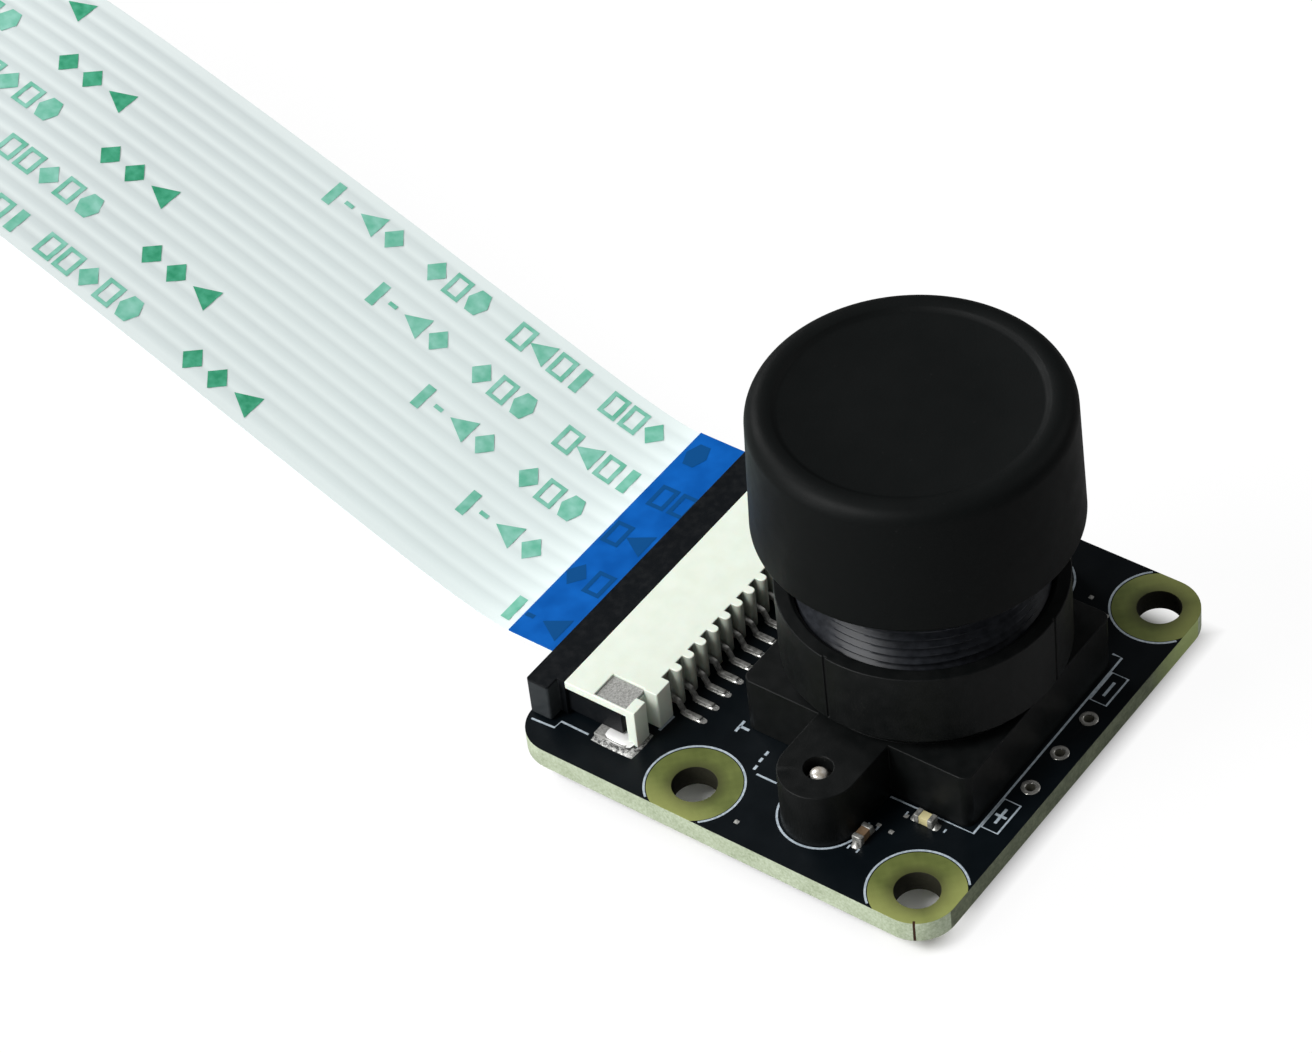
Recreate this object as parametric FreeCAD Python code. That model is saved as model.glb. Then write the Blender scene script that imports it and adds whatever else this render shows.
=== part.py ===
import FreeCAD, Part
import math
import os

# Board camera module: a small circuit board with an M12 lens in a plastic holder,
# a push-on lens cap, a flat-cable connector with a slide latch, and its flat cable.
# Frame: X along the connector, Y towards the cable, Z up along the lens axis.
# The origin is the centre of the four board holes, on the underside of the board.

V = FreeCAD.Vector
os.makedirs("parts", exist_ok=True)

# Circuit board
board_x = 25.0
board_y = 24.0
board_t = 1.2
board_corner_r = 2.0
hole_d = 2.2
hole_pitch_x = 21.0
hole_pitch_y = 12.5
hole_edge_y = 2.0
board_y0 = -hole_pitch_y / 2 - hole_edge_y
board_y1 = board_y0 + board_y
screw_hole_d = 2.0

# Plated wire holes along the free edge
pad_pitch = 2.54
pad_count = 3
pad_edge = 1.0
pad_drill_d = 0.5
pad_ring_d = 0.92
pad_foil = 0.04

# Image sensor: ceramic tray, die and cover glass
sensor_w = 8.4
sensor_h = 1.2
sensor_floor = 0.5
die_x = 5.0
die_y = 4.0
die_t = 0.25
die_room = 0.4
glass_w = 7.3
glass_t = 0.3
glass_gap = 0.05

# Lens holder: square foot, round barrel and two screw lugs
foot_x = 12.4
foot_y = 12.6
foot_h = 3.3
foot_corner_r = 0.5
foot_wall = 0.9
cavity_h = 2.2
barrel_wall = 0.85
barrel_top = 8.2
barrel_flare = 0.9
rim_chamfer = 0.2
lug_pitch = 18.0
lug_d = 3.9
lug_hole_d = 1.4
mould_line_w = 0.16
mould_line_t = 0.1
mould_line_angles = (173.0, 275.0, 353.0, 95.0)
filter_w = 8.2
filter_t = 0.3
filter_gap = 0.05
window_d = 7.4

# Screws that hold the holder from under the board
screw_head_d = 3.2
screw_head_h = 1.2
screw_len = 4.1
screw_tip_len = 0.45
screw_tip_d = 0.8
screw_cross_w = 0.35
screw_cross_len = 1.7
screw_cross_t = 0.5

# M12 lens
thread_d = 12.0
thread_gap = 0.05
focus_travel = 0.5
focus_room = 0.15
neck_len = 7.9
head_over = 0.75
head_h = 5.9
head_chamfer = 0.4
rear_lip_t = 0.6
rear_lip_d = 6.3
rear_bore_d = 7.2
middle_bore_d = 9.2
front_wall = 1.05
glass_fit = 0.02
rear_glass_t = 1.1
rear_spacer_t = 1.2
stop_t = 0.1
stop_d = 2.6
third_glass_t = 1.4
middle_spacer_t = 2.6
second_glass_t = 1.0
front_spacer_t = 1.9
front_glass_t = 1.5
ring_t = 0.9
glass_rim = 0.5
dome_steps = 2
head_d = thread_d + 2 * head_over
front_bore_d = head_d - 2 * front_wall

# Lens cap
cap_top_wall = 0.7
cap_foot_wall = 0.9
cap_gap = 0.05
cap_skirt = 0.2
cap_roof_t = 0.9
cap_room = 0.05
cap_edge_r = 0.8
cap_foot_r = 0.3
cap_lip = 1.1
cap_dish_t = 0.2

# Flat-cable connector
ways = 15
house_front = 10.15
house_depth = 3.8
house_h = 2.3
house_lift = 0.05
roof_t = 0.45
side_channel = 0.75
mouth_side_gap = 0.2
mouth_wall = 1.1
mouth_gap = 0.06
rib_w = 0.46
rib_out = 0.5
rib_root = 0.2
rib_steps = 6
lane_floor = 0.2
lane_end = 0.5
lane_mouth = 0.45
lane_lip = 0.12
block_w = 1.1
block_in = 2.65
block_r = 0.1

# Contacts of the connector
contact_t = 0.26
contact_gap = 0.05
tail_out = 1.8
tail_t = 0.16
tail_rise = 0.95
beam_t = 0.22
beam_reach = 2.8
beam_drop = 0.62
blade_t = 0.28
blade_gap = 0.08
blade_top = 0.2
knee_back = 0.25
knee_rise = 0.55
knee_run = 0.3
hook_len = 0.9
hook_tip = 0.25

# Legs of the housing at its front corners, and the metal tabs behind them
leg_w = 0.95
leg_out = 0.3
leg_root = 0.2
pocket_w = 1.65
pocket_rim = 0.12
pocket_y0 = 0.25
pocket_y1 = 2.1
tab_t = 0.2
tab_sink = 0.12
tab_gap = 0.02
tab_foot_len = 2.0
tab_foot_out = 0.4
tab_bend_r = 0.15

# Slide latch
latch_ear = 0.75
latch_depth = 1.7
latch_ear_depth = 1.25
latch_floor = 0.15
arm_t = 0.5
arm_gap = 0.06
arm_front = 0.7
tongue_reach = 2.3
latch_slot_gap = 0.1
latch_gap = 0.02

# Flat cable
cable_w = 16.0
film_t = 0.2
stiffener_t = 0.1
conductor_w = 0.6
conductor_t = 0.05
stripped_len = 3.6
insert_len = 3.4
stiffener_len = 8.4
cable_z = 2.45
table_z = -screw_head_h

# Parts on the underside
chip_x = 1.0
chip_y = 0.5
chip_h = 0.5
regulator_x = 2.9
regulator_y = 1.6
regulator_h = 1.05
regulator_standoff = 0.08
lead_w = 0.4
lead_len = 0.6
lead_t = 0.15
oscillator_x = 3.2
oscillator_y = 2.5
oscillator_h = 0.9
oscillator_lid_t = 0.2
regulator_places = [(-5.2, 9.6), (5.2, 9.6)]
oscillator_place = (0, 8.6)

# Heights that several pieces share
foot_top = board_t + foot_h
rim_z = board_t + barrel_top
ledge_z = board_t + cavity_h
lens_z0 = foot_top + barrel_flare * 0.45 + focus_travel + focus_room
neck_z1 = lens_z0 + neck_len
head_z1 = neck_z1 + head_h
house_top = board_t + house_lift + house_h
house_back = house_front + house_depth
roof_z = house_top - roof_t
pitch = cable_w / (ways + 1)
mouth_half = cable_w / 2 + mouth_side_gap
body_half = mouth_half + mouth_wall
house_half = body_half + side_channel
block_x0 = house_half - block_in
block_x1 = block_x0 + block_w
leg_x0 = house_half - leg_w
pocket_x0 = house_half - pocket_w
latch_half = house_half + latch_ear
cable_top = cable_z + film_t / 2
cable_under = cable_z - film_t / 2


def box(x0, x1, y0, y1, z0, z1):
    """Box between two corners."""
    return Part.makeBox(x1 - x0, y1 - y0, z1 - z0, V(x0, y0, z0))


def rod(x, y, z0, z1, d):
    """Upright cylinder."""
    return Part.makeCylinder(d / 2, z1 - z0, V(x, y, z0))


def plate(x0, x1, y0, y1, z0, z1, r):
    """Box with its four upright edges rounded."""
    body = box(x0, x1, y0, y1, z0, z1)
    upright = [e for e in body.Edges if abs(e.tangentAt(e.FirstParameter).z) > 0.99]
    return body.makeFillet(r, upright)


def turned(points):
    """Ring or disc turned about the lens axis from (radius, height) points."""
    loop = [V(r, 0, z) for r, z in points]
    face = Part.Face(Part.makePolygon(loop + [loop[0]]))
    return face.revolve(V(0, 0, 0), V(0, 0, 1), 360)


def side_profile(points, x0, x1):
    """Flat shape drawn in (y, z) and pushed along X."""
    loop = [V(x0, y, z) for y, z in points]
    face = Part.Face(Part.makePolygon(loop + [loop[0]]))
    return face.extrude(V(x1 - x0, 0, 0))


def mirrored(shape):
    """The same piece on the other side of the X = 0 plane."""
    return shape.mirror(V(0, 0, 0), V(1, 0, 0))


def joined(shapes):
    """One solid from pieces that meet."""
    return shapes[0].multiFuse(shapes[1:]).removeSplitter()


def write(name, *solids):
    """One file per node, holding one solid or a group of like solids."""
    shape = solids[0] if len(solids) == 1 else Part.makeCompound(list(solids))
    shape.exportStep("parts/" + name + ".step")
    print(name, len(shape.Solids), round(shape.Volume, 3), shape.isValid())


# Circuit board, with its four mounting holes, two screw holes and the wire holes
def make_board():
    body = plate(-board_x / 2, board_x / 2, board_y0, board_y1, 0, board_t, board_corner_r)
    cuts = []
    for sx in (-1, 1):
        for sy in (-1, 1):
            cuts.append(rod(sx * hole_pitch_x / 2, sy * hole_pitch_y / 2, -1, board_t + 1, hole_d))
        cuts.append(rod(sx * lug_pitch / 2, 0, -1, board_t + 1, screw_hole_d))
    for x, y in wire_hole_places():
        cuts.append(rod(x, y, -1, board_t + 1, pad_drill_d))
    return body.cut(cuts)


def wire_hole_places():
    """Centres of the plated wire holes."""
    first = -(pad_count - 1) / 2
    return [((first + i) * pad_pitch, board_y0 + pad_edge) for i in range(pad_count)]


def make_foil_ring(x, y, z0):
    """Ring of foil round a wire hole; the plating inside the hole is too thin to draw."""
    ring = rod(x, y, z0, z0 + pad_foil, pad_ring_d)
    return ring.cut(rod(x, y, z0, z0 + pad_foil, pad_drill_d))


write("circuit_board", make_board())
foil_rings = []
for x, y in wire_hole_places():
    foil_rings.append(make_foil_ring(x, y, -pad_foil))
    foil_rings.append(make_foil_ring(x, y, board_t))
write("wire_eyelets", *foil_rings)


# Image sensor
sensor_top = board_t + sensor_h
glass_z0 = sensor_top - glass_t
die_z0 = board_t + sensor_floor


def centred_box(wx, wy, z0, z1):
    return box(-wx / 2, wx / 2, -wy / 2, wy / 2, z0, z1)


def make_sensor_tray():
    body = centred_box(sensor_w, sensor_w, board_t, sensor_top)
    pocket = centred_box(die_x + 2 * die_room, die_y + 2 * die_room, die_z0, sensor_top)
    step = centred_box(glass_w + 2 * glass_gap, glass_w + 2 * glass_gap, glass_z0, sensor_top)
    return body.cut([pocket, step])


write("sensor_tray", make_sensor_tray())
write("sensor_die", centred_box(die_x, die_y, die_z0, die_z0 + die_t))
write("sensor_glass", centred_box(glass_w, glass_w, glass_z0, sensor_top))


# Lens holder
bore_r = thread_d / 2 + thread_gap
barrel_r = bore_r + barrel_wall
flare_z1 = foot_top + barrel_flare
bore_z0 = lens_z0 - focus_travel - focus_room


def make_holder():
    foot = plate(-foot_x / 2, foot_x / 2, -foot_y / 2, foot_y / 2, board_t, foot_top, foot_corner_r)
    barrel = turned(
        [
            (0, board_t + cavity_h),
            (foot_x / 2, board_t + cavity_h),
            (foot_x / 2, foot_top),
            (barrel_r, flare_z1),
            (barrel_r, rim_z),
            (0, rim_z),
        ]
    )
    lugs = []
    for sx in (-1, 1):
        x = sx * lug_pitch / 2
        lugs.append(rod(x, 0, board_t, foot_top, lug_d))
        web = box(min(x, 0), max(x, 0), -lug_d / 2, lug_d / 2, board_t, foot_top)
        lugs.append(web)
    body = joined([foot, barrel] + lugs)
    cavity = centred_box(foot_x - 2 * foot_wall, foot_y - 2 * foot_wall, board_t, ledge_z)
    seat_w = filter_w + 2 * filter_gap
    seat = centred_box(seat_w, seat_w, ledge_z, ledge_z + filter_t)
    window = rod(0, 0, ledge_z, bore_z0, window_d)
    bore = turned(
        [
            (0, bore_z0),
            (bore_r, bore_z0),
            (bore_r, rim_z - rim_chamfer),
            (bore_r + rim_chamfer, rim_z),
            (0, rim_z),
        ]
    )
    cuts = [cavity, seat, window, bore]
    for sx in (-1, 1):
        cuts.append(rod(sx * lug_pitch / 2, 0, board_t, foot_top, lug_hole_d))
    for angle in mould_line_angles:
        line = box(
            barrel_r - mould_line_t,
            barrel_r + 1,
            -mould_line_w / 2,
            mould_line_w / 2,
            flare_z1,
            rim_z,
        )
        line.rotate(V(0, 0, 0), V(0, 0, 1), angle)
        cuts.append(line)
    return body.cut(cuts)


write("lens_holder", make_holder())
write("ir_filter", centred_box(filter_w, filter_w, ledge_z, ledge_z + filter_t))


# Holder screws, driven up through the board into the lugs
def make_screw(x):
    head_r = screw_head_d / 2
    core_r = lug_hole_d / 2
    tip_z = screw_len
    head = turned(
        [
            (0, -screw_head_h),
            (head_r * 0.55, -screw_head_h),
            (head_r * 0.9, -screw_head_h * 0.85),
            (head_r, -screw_head_h * 0.45),
            (head_r, 0),
            (core_r, 0),
            (core_r, tip_z - screw_tip_len),
            (screw_tip_d / 2, tip_z),
            (0, tip_z),
        ]
    )
    half = screw_cross_len / 2
    wide = screw_cross_w / 2
    z1 = -screw_head_h + screw_cross_t
    cross = [
        box(-half, half, -wide, wide, -screw_head_h - 1, z1),
        box(-wide, wide, -half, half, -screw_head_h - 1, z1),
    ]
    screw = head.cut(cross)
    screw.translate(V(x, 0, 0))
    return screw


write("holder_screws", make_screw(-lug_pitch / 2), make_screw(lug_pitch / 2))


# Lens barrel: thread below, head above, three stepped bores for the glass
rear_z = lens_z0 + rear_lip_t
stop_z = rear_z + rear_glass_t + rear_spacer_t
third_z = stop_z + stop_t
middle_spacer_z = third_z + third_glass_t
second_z = middle_spacer_z + middle_spacer_t
front_spacer_z = second_z + second_glass_t
front_z = front_spacer_z + front_spacer_t
ring_z = front_z + front_glass_t


def make_lens_barrel():
    thread_r = thread_d / 2
    head_r = head_d / 2
    edge = 0.3
    return turned(
        [
            (rear_lip_d / 2, lens_z0),
            (thread_r - edge, lens_z0),
            (thread_r, lens_z0 + edge),
            (thread_r, neck_z1),
            (head_r - head_chamfer, neck_z1),
            (head_r, neck_z1 + head_chamfer),
            (head_r, head_z1 - head_chamfer),
            (head_r - head_chamfer, head_z1),
            (front_bore_d / 2, head_z1),
            (front_bore_d / 2, front_z),
            (middle_bore_d / 2, front_z),
            (middle_bore_d / 2, second_z),
            (rear_bore_d / 2, second_z),
            (rear_bore_d / 2, rear_z),
            (rear_lip_d / 2, rear_z),
        ]
    )


def dome(radius, height, share):
    """Height of a round face at a share of its radius, counted down from its middle."""
    ball = (radius**2 + height**2) / (2 * abs(height))
    drop = ball - math.sqrt(ball**2 - (radius * share) ** 2)
    return math.copysign(drop, height)


def make_glass(d, z0, thick, bulge_down, bulge_up):
    """Lens element with flat seating rims; a bulge is positive where the face is convex."""
    r = d / 2 - glass_fit
    clear = r - glass_rim
    z1 = z0 + thick
    shares = [i / dome_steps for i in range(dome_steps + 1)]
    lower = [(clear * share, z0 - bulge_down + dome(clear, bulge_down, share)) for share in shares]
    upper = [(clear * share, z1 + bulge_up - dome(clear, bulge_up, share)) for share in shares]
    return turned(lower + [(r, z0), (r, z1)] + upper[::-1])


def make_spacer(d, z0, z1):
    """Thin ring that bears on the flat rims of the glass."""
    r = d / 2 - glass_fit
    return turned([(r - glass_rim, z0), (r, z0), (r, z1), (r - glass_rim, z1)])


write("lens_barrel", make_lens_barrel())
write("rear_glass", make_glass(rear_bore_d, rear_z, rear_glass_t, 0.35, 0.45))
write("rear_spacer", make_spacer(rear_bore_d, rear_z + rear_glass_t, stop_z))
write(
    "aperture_stop",
    turned(
        [
            (stop_d / 2, stop_z),
            (rear_bore_d / 2 - glass_fit, stop_z),
            (rear_bore_d / 2 - glass_fit, third_z),
            (stop_d / 2, third_z),
        ]
    ),
)
write("third_glass", make_glass(rear_bore_d, third_z, third_glass_t, -0.3, 0.5))
write("middle_spacer", make_spacer(rear_bore_d, middle_spacer_z, second_z))
write("second_glass", make_glass(middle_bore_d, second_z, second_glass_t, -0.7, 0.5))
write("front_spacer", make_spacer(middle_bore_d, front_spacer_z, front_z))
write("front_glass", make_glass(front_bore_d, front_z, front_glass_t, -1.2, 0.9))
write("retaining_ring", make_spacer(front_bore_d, ring_z, ring_z + ring_t))


# Push-on lens cap
cap_z0 = neck_z1 - cap_skirt
cap_roof_z = head_z1 + cap_room
cap_z1 = cap_roof_z + cap_roof_t


def round_corner(r, z, radius, start, end, steps):
    """Points of a rounded corner about its centre, from one angle to another, in degrees."""
    points = []
    for i in range(steps + 1):
        angle = math.radians(start + (end - start) * i / steps)
        points.append((r + radius * math.cos(angle), z + radius * math.sin(angle)))
    return points


def make_cap():
    inner = head_d / 2 + cap_gap
    foot_r = inner + cap_foot_wall
    top_r = inner + cap_top_wall
    dish_r = top_r - cap_lip
    points = [(inner, cap_z0)]
    points += round_corner(foot_r - cap_foot_r, cap_z0 + cap_foot_r, cap_foot_r, -90, 0, 2)
    points += round_corner(top_r - cap_edge_r, cap_z1 - cap_edge_r, cap_edge_r, 0, 90, 4)
    points += [
        (dish_r, cap_z1),
        (dish_r - cap_dish_t, cap_z1 - cap_dish_t),
        (0, cap_z1 - cap_dish_t),
        (0, cap_roof_z),
        (inner, cap_roof_z),
    ]
    return turned(points)


write("lens_cap", make_cap())


# Connector housing
lane_x = [(i - (ways - 1) / 2) * pitch for i in range(ways)]
mouth_z0 = cable_under - conductor_t
mouth_front = house_back - insert_len - mouth_gap
latch_slot_z1 = cable_top + stiffener_t + latch_slot_gap
rib_front = house_front - rib_out
tab_z1 = house_top - tab_sink
tab_z0 = tab_z1 - tab_t
tab_x0 = leg_x0 + leg_root + tab_gap
tab_x1 = house_half - pocket_rim - tab_gap
foot_x1 = house_half + tab_foot_out


def make_rib(x, z0):
    """Upright rib of the comb with a round nose."""
    r = rib_w / 2
    back = house_front + rib_root
    points = [(x + r, back), (x - r, back)]
    for i in range(rib_steps + 1):
        angle = math.pi * i / rib_steps
        points.append((x - r * math.cos(angle), rib_front + r - r * math.sin(angle)))
    loop = [V(px, py, z0) for px, py in points]
    outline = Part.makePolygon(loop + [loop[0]])
    return Part.Face(outline).extrude(V(0, 0, house_top - z0))


def make_housing():
    floor_z = board_t + house_lift
    body = box(-body_half, body_half, house_front, house_back, floor_z, house_top)
    roof = box(-house_half, house_half, house_front, house_back, roof_z, house_top)
    pieces = [body, roof]
    for sx in (-1, 1):
        x0, x1 = sorted((sx * block_x0, sx * block_x1))
        pieces.append(plate(x0, x1, rib_front, house_front + rib_out, floor_z, house_top, block_r))
        x0, x1 = sorted((sx * leg_x0, sx * house_half))
        pieces.append(box(x0, x1, house_front - leg_out, house_front + pocket_y0, floor_z, house_top))
    for i in range(1, ways):
        pieces.append(make_rib((i - ways / 2) * pitch, floor_z))
    shell = joined(pieces)
    cuts = [box(-mouth_half, mouth_half, mouth_front, house_back, mouth_z0, roof_z)]
    lane_half = contact_t / 2 + contact_gap
    for x in lane_x:
        x0 = x - lane_half
        x1 = x + lane_half
        lane_y1 = house_back - lane_end
        cuts.append(box(x0, x1, house_front, lane_y1, floor_z + lane_floor, mouth_z0))
        front_y1 = house_front + lane_mouth
        cuts.append(box(x0, x1, house_front, front_y1, floor_z, house_top - lane_lip))
    for sx in (-1, 1):
        x0, x1 = sorted((sx * pocket_x0, sx * (tab_x1 + tab_gap)))
        cuts.append(box(x0, x1, house_front + pocket_y0, house_front + pocket_y1, tab_z0, house_top))
        x0, x1 = sorted((sx * block_x1, sx * leg_x0))
        slot_y1 = house_front + pocket_y0
        cuts.append(box(x0, x1, house_front - leg_out, slot_y1, floor_z, house_top))
        x0, x1 = sorted((sx * (tab_x0 - tab_gap), sx * (tab_x1 + tab_gap)))
        cuts.append(box(x0, x1, house_front, slot_y1, board_t, tab_z1))
        x0, x1 = sorted((sx * (tab_x0 - tab_gap), sx * (foot_x1 + tab_gap)))
        foot_y1 = house_front + tab_foot_len + tab_gap
        cuts.append(box(x0, x1, house_front, foot_y1, board_t, board_t + tab_t + tab_gap))
    return shell.cut(cuts)


write("connector_housing", make_housing())


# Spring contacts: a beam under the cable, an upright blade in its lane and a tail on the board
def make_contact(x):
    y0 = house_front + blade_gap
    y1 = y0 + blade_t
    beam_z0 = mouth_z0 - beam_drop
    beam_z1 = beam_z0 + beam_t
    tip_y = house_front + beam_reach
    foot_y = rib_front - tail_out + rib_out
    knee_y = rib_front - knee_back
    foot_z1 = board_t + tail_t
    knee_z = board_t + tail_rise * knee_rise
    blade_z1 = house_top - blade_top
    points = [
        (foot_y, board_t),
        (knee_y, board_t),
        (knee_y + knee_run, knee_z),
        (y1 - blade_gap, beam_z0 - tail_t / 3),
        (tip_y - hook_len, beam_z0),
        (tip_y, mouth_z0 - hook_tip),
        (tip_y, mouth_z0),
        (tip_y - hook_tip, mouth_z0),
        (tip_y - hook_len - blade_gap, beam_z1),
        (y1, beam_z1),
        (y1, blade_z1),
        (y0, blade_z1),
        (y0, board_t + tail_rise),
        (knee_y + knee_run / 2, knee_z + tail_t),
        (knee_y - tail_t * 0.75, foot_z1),
        (foot_y, foot_z1),
    ]
    return side_profile(points, x - contact_t / 2, x + contact_t / 2)


write("connector_contacts", *[make_contact(x) for x in lane_x])


# Hold-down tabs: a strip from the pocket in the roof, down behind the leg and along the board
def make_tab():
    y0 = house_front + tab_gap
    y1 = house_front + pocket_y1 - tab_gap
    strip = side_profile(
        [
            (y0, board_t),
            (house_front + tab_foot_len, board_t),
            (house_front + tab_foot_len, board_t + tab_t),
            (y0 + tab_t, board_t + tab_t),
            (y0 + tab_t, tab_z0),
            (y1, tab_z0),
            (y1, tab_z1),
            (y0, tab_z1),
        ],
        -tab_x1,
        -tab_x0,
    )
    bend = []
    for edge in strip.Edges:
        along_x = abs(edge.tangentAt(edge.FirstParameter).x) > 0.99
        outside = abs(edge.CenterOfMass.y - y0) < 0.001
        if along_x and outside:
            bend.append(edge)
    strip = strip.makeFillet(tab_bend_r, bend)
    wing = box(
        -tab_x0 - tab_gap,
        -pocket_x0 - tab_gap,
        house_front + pocket_y0 + tab_gap,
        y1,
        tab_z0,
        tab_z1,
    )
    foot_y1 = house_front + tab_foot_len
    foot = box(-foot_x1, -tab_x0, y0 + tab_bend_r, foot_y1, board_t, board_t + tab_t)
    return joined([strip, wing, foot])


write("hold_down_tabs", make_tab(), mirrored(make_tab()))


# Slide latch: a bar with ears, two side arms and a thin tongue over the cable
def make_latch():
    back = house_back + latch_depth
    low = board_t + latch_floor
    slot_z0 = mouth_z0 - 0.05
    slot_half = cable_w / 2 + 0.15
    bar = box(-house_half, house_half, house_back + latch_gap, back, low, house_top)
    tongue = box(
        -slot_half + 0.05,
        slot_half - 0.05,
        house_back - tongue_reach,
        house_back + 0.1,
        latch_slot_z1 - 0.06,
        roof_z - 0.04,
    )
    ears = []
    for sx in (-1, 1):
        ear_x0, ear_x1 = sorted((sx * (house_half - 0.3), sx * latch_half))
        ears.append(plate(ear_x0, ear_x1, back - latch_ear_depth, back, low, house_top, 0.12))
        arm_x0, arm_x1 = sorted((sx * (body_half + arm_gap), sx * (body_half + arm_gap + arm_t)))
        ears.append(
            box(
                arm_x0,
                arm_x1,
                house_front + arm_front,
                back - 0.4,
                board_t + tab_t + 0.1,
                roof_z - 0.05,
            )
        )
    body = joined([bar, tongue] + ears)
    slot = box(-slot_half, slot_half, house_back, back + 1, slot_z0, latch_slot_z1)
    return body.cut(slot)


write("connector_latch", make_latch())


# Flat cable: the line of its middle, as (y, z) points chosen by hand
cable_start = house_back - insert_len
cable_route = [
    (cable_start, cable_z),
    (20.5, cable_z),
    (30.0, 6.3),
    (42.5, 11.55),
    (55.5, 16.5),
    (69.0, 19.8),
    (82.5, 19.9),
    (96.0, 16.3),
    (109.0, 9.8),
    (121.0, 3.2),
    (132.0, -0.45),
    (143.0, table_z + film_t / 2 + conductor_t),
    (153.5, table_z + film_t / 2 + conductor_t),
]


def bend_plan(route):
    """Cut-back and signed radius of the arc at each inner point of the route."""
    plan = []
    for i in range(1, len(route) - 1):
        a = V(0, *route[i - 1])
        b = V(0, *route[i])
        c = V(0, *route[i + 1])
        before = b - a
        after = c - b
        turn = math.atan2(before.cross(after).x, before.dot(after))
        cut = 0.45 * min(before.Length, after.Length)
        plan.append((cut, cut / math.tan(abs(turn) / 2), turn))
    return plan


def ribbon_edges(route, plan, offset):
    """Straight runs and tangent arcs of the route, moved sideways by offset."""
    edges = []
    last = None
    for i in range(len(route) - 1):
        a = V(0, *route[i])
        b = V(0, *route[i + 1])
        along = (b - a).normalize()
        up = V(0, -along.z, along.y)
        start = a + along * (plan[i - 1][0] if i > 0 else 0)
        end = b - along * (plan[i][0] if i < len(plan) else 0)
        start = start + up * offset
        end = end + up * offset
        if last is not None:
            cut, radius, turn = plan[i - 1]
            side = 1 if turn > 0 else -1
            before = (a - V(0, *route[i - 1])).normalize()
            up_before = V(0, -before.z, before.y)
            centre = a - before * cut + up_before * radius * side
            middle_up = (up_before + up).normalize()
            middle = centre - middle_up * side * (radius - side * offset)
            edges.append(Part.Arc(last, middle, start).toShape())
        edges.append(Part.makeLine(start, end))
        last = end
    return edges


def make_ribbon(route, low, high, width):
    """Flat band between two offsets from the route's line."""
    plan = bend_plan(route)
    under = ribbon_edges(route, plan, low)
    over = ribbon_edges(route, plan, high)
    first = Part.makeLine(under[0].Vertexes[0].Point, over[0].Vertexes[0].Point)
    last = Part.makeLine(under[-1].Vertexes[1].Point, over[-1].Vertexes[1].Point)
    loop = Part.Wire(Part.__sortEdges__(under + over + [first, last]))
    band = Part.Face(loop).extrude(V(width, 0, 0))
    band.translate(V(-width / 2, 0, 0))
    return band


def route_length(route, plan):
    """Length of the runs and arcs."""
    total = 0
    for i in range(len(route) - 1):
        total += (V(0, *route[i + 1]) - V(0, *route[i])).Length
    for cut, radius, turn in plan:
        total += radius * abs(turn) - 2 * cut
    return total


cable_plan = bend_plan(cable_route)
cable_length = route_length(cable_route, cable_plan)
cable_solid = make_ribbon(cable_route, -film_t / 2, film_t / 2, cable_w)
print("cable radii", [round(radius, 1) for cut, radius, turn in cable_plan])
print("cable length", round(cable_length, 2))
cable_section = cable_w * film_t
print("cable volume share", round(cable_solid.Volume / (cable_section * cable_length), 5))
cable_end = cable_route[-1][0]
cable_end_z = cable_route[-1][1]


def make_stiffener(y0, y1):
    """Blue backing bonded to the upper side of a stripped end."""
    whole = make_ribbon(cable_route, film_t / 2, film_t / 2 + stiffener_t, cable_w)
    return whole.common(box(-cable_w, cable_w, y0, y1, table_z - cable_w, table_z + 3 * cable_w))


def make_strips(y0, y1, z):
    """Bare tinned conductors on the lower side of a stripped end."""
    under = z - film_t / 2
    half = conductor_w / 2
    return [box(x - half, x + half, y0, y1, under - conductor_t, under) for x in lane_x]


write("flat_cable", cable_solid)
write("near_stiffener", make_stiffener(cable_start, cable_start + stiffener_len))
write("far_stiffener", make_stiffener(cable_end - stiffener_len, cable_end))
write("near_strips", *make_strips(cable_start, cable_start + stripped_len, cable_z))
write("far_strips", *make_strips(cable_end - stripped_len, cable_end, cable_end_z))


# Small parts: chip capacitors and resistors as plain blocks with raised ends
def make_chip(x, y, z, along_y=False, down=False):
    wx, wy = (chip_y, chip_x) if along_y else (chip_x, chip_y)
    z0, z1 = (z - chip_h, z) if down else (z, z + chip_h)
    skin = 0.02
    body = box(x - wx / 2, x + wx / 2, y - wy / 2, y + wy / 2, z0, z1)
    waist_x, waist_y = (wx, wy * 0.5) if along_y else (wx * 0.5, wy)
    hollow = box(x - waist_x / 2, x + waist_x / 2, y - waist_y / 2, y + waist_y / 2, z0, z1)
    core = box(
        x - waist_x / 2 + (skin if along_y else 0),
        x + waist_x / 2 - (skin if along_y else 0),
        y - waist_y / 2 + (0 if along_y else skin),
        y + waist_y / 2 - (0 if along_y else skin),
        z0 + skin,
        z1 - skin,
    )
    return body.cut(hollow).fuse(core).removeSplitter()


corner_chips = [(-9.15, -2.35, False), (-6.85, -4.3, True)]
sensor_chips = [(-4.75, -2.0, True), (-4.75, 1.6, True), (4.75, -1.6, True), (4.75, 2.0, True)]
under_chips = [(-6.0, 3.2, False), (-6.0, 4.4, False), (5.6, 3.2, False), (5.6, 4.4, False)]
under_chips.append((0.0, -5.2, True))
under_resistors = [(-3.6, -5.0, True), (-2.4, -5.0, True), (2.4, -5.0, True), (3.6, -5.0, True)]

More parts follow.
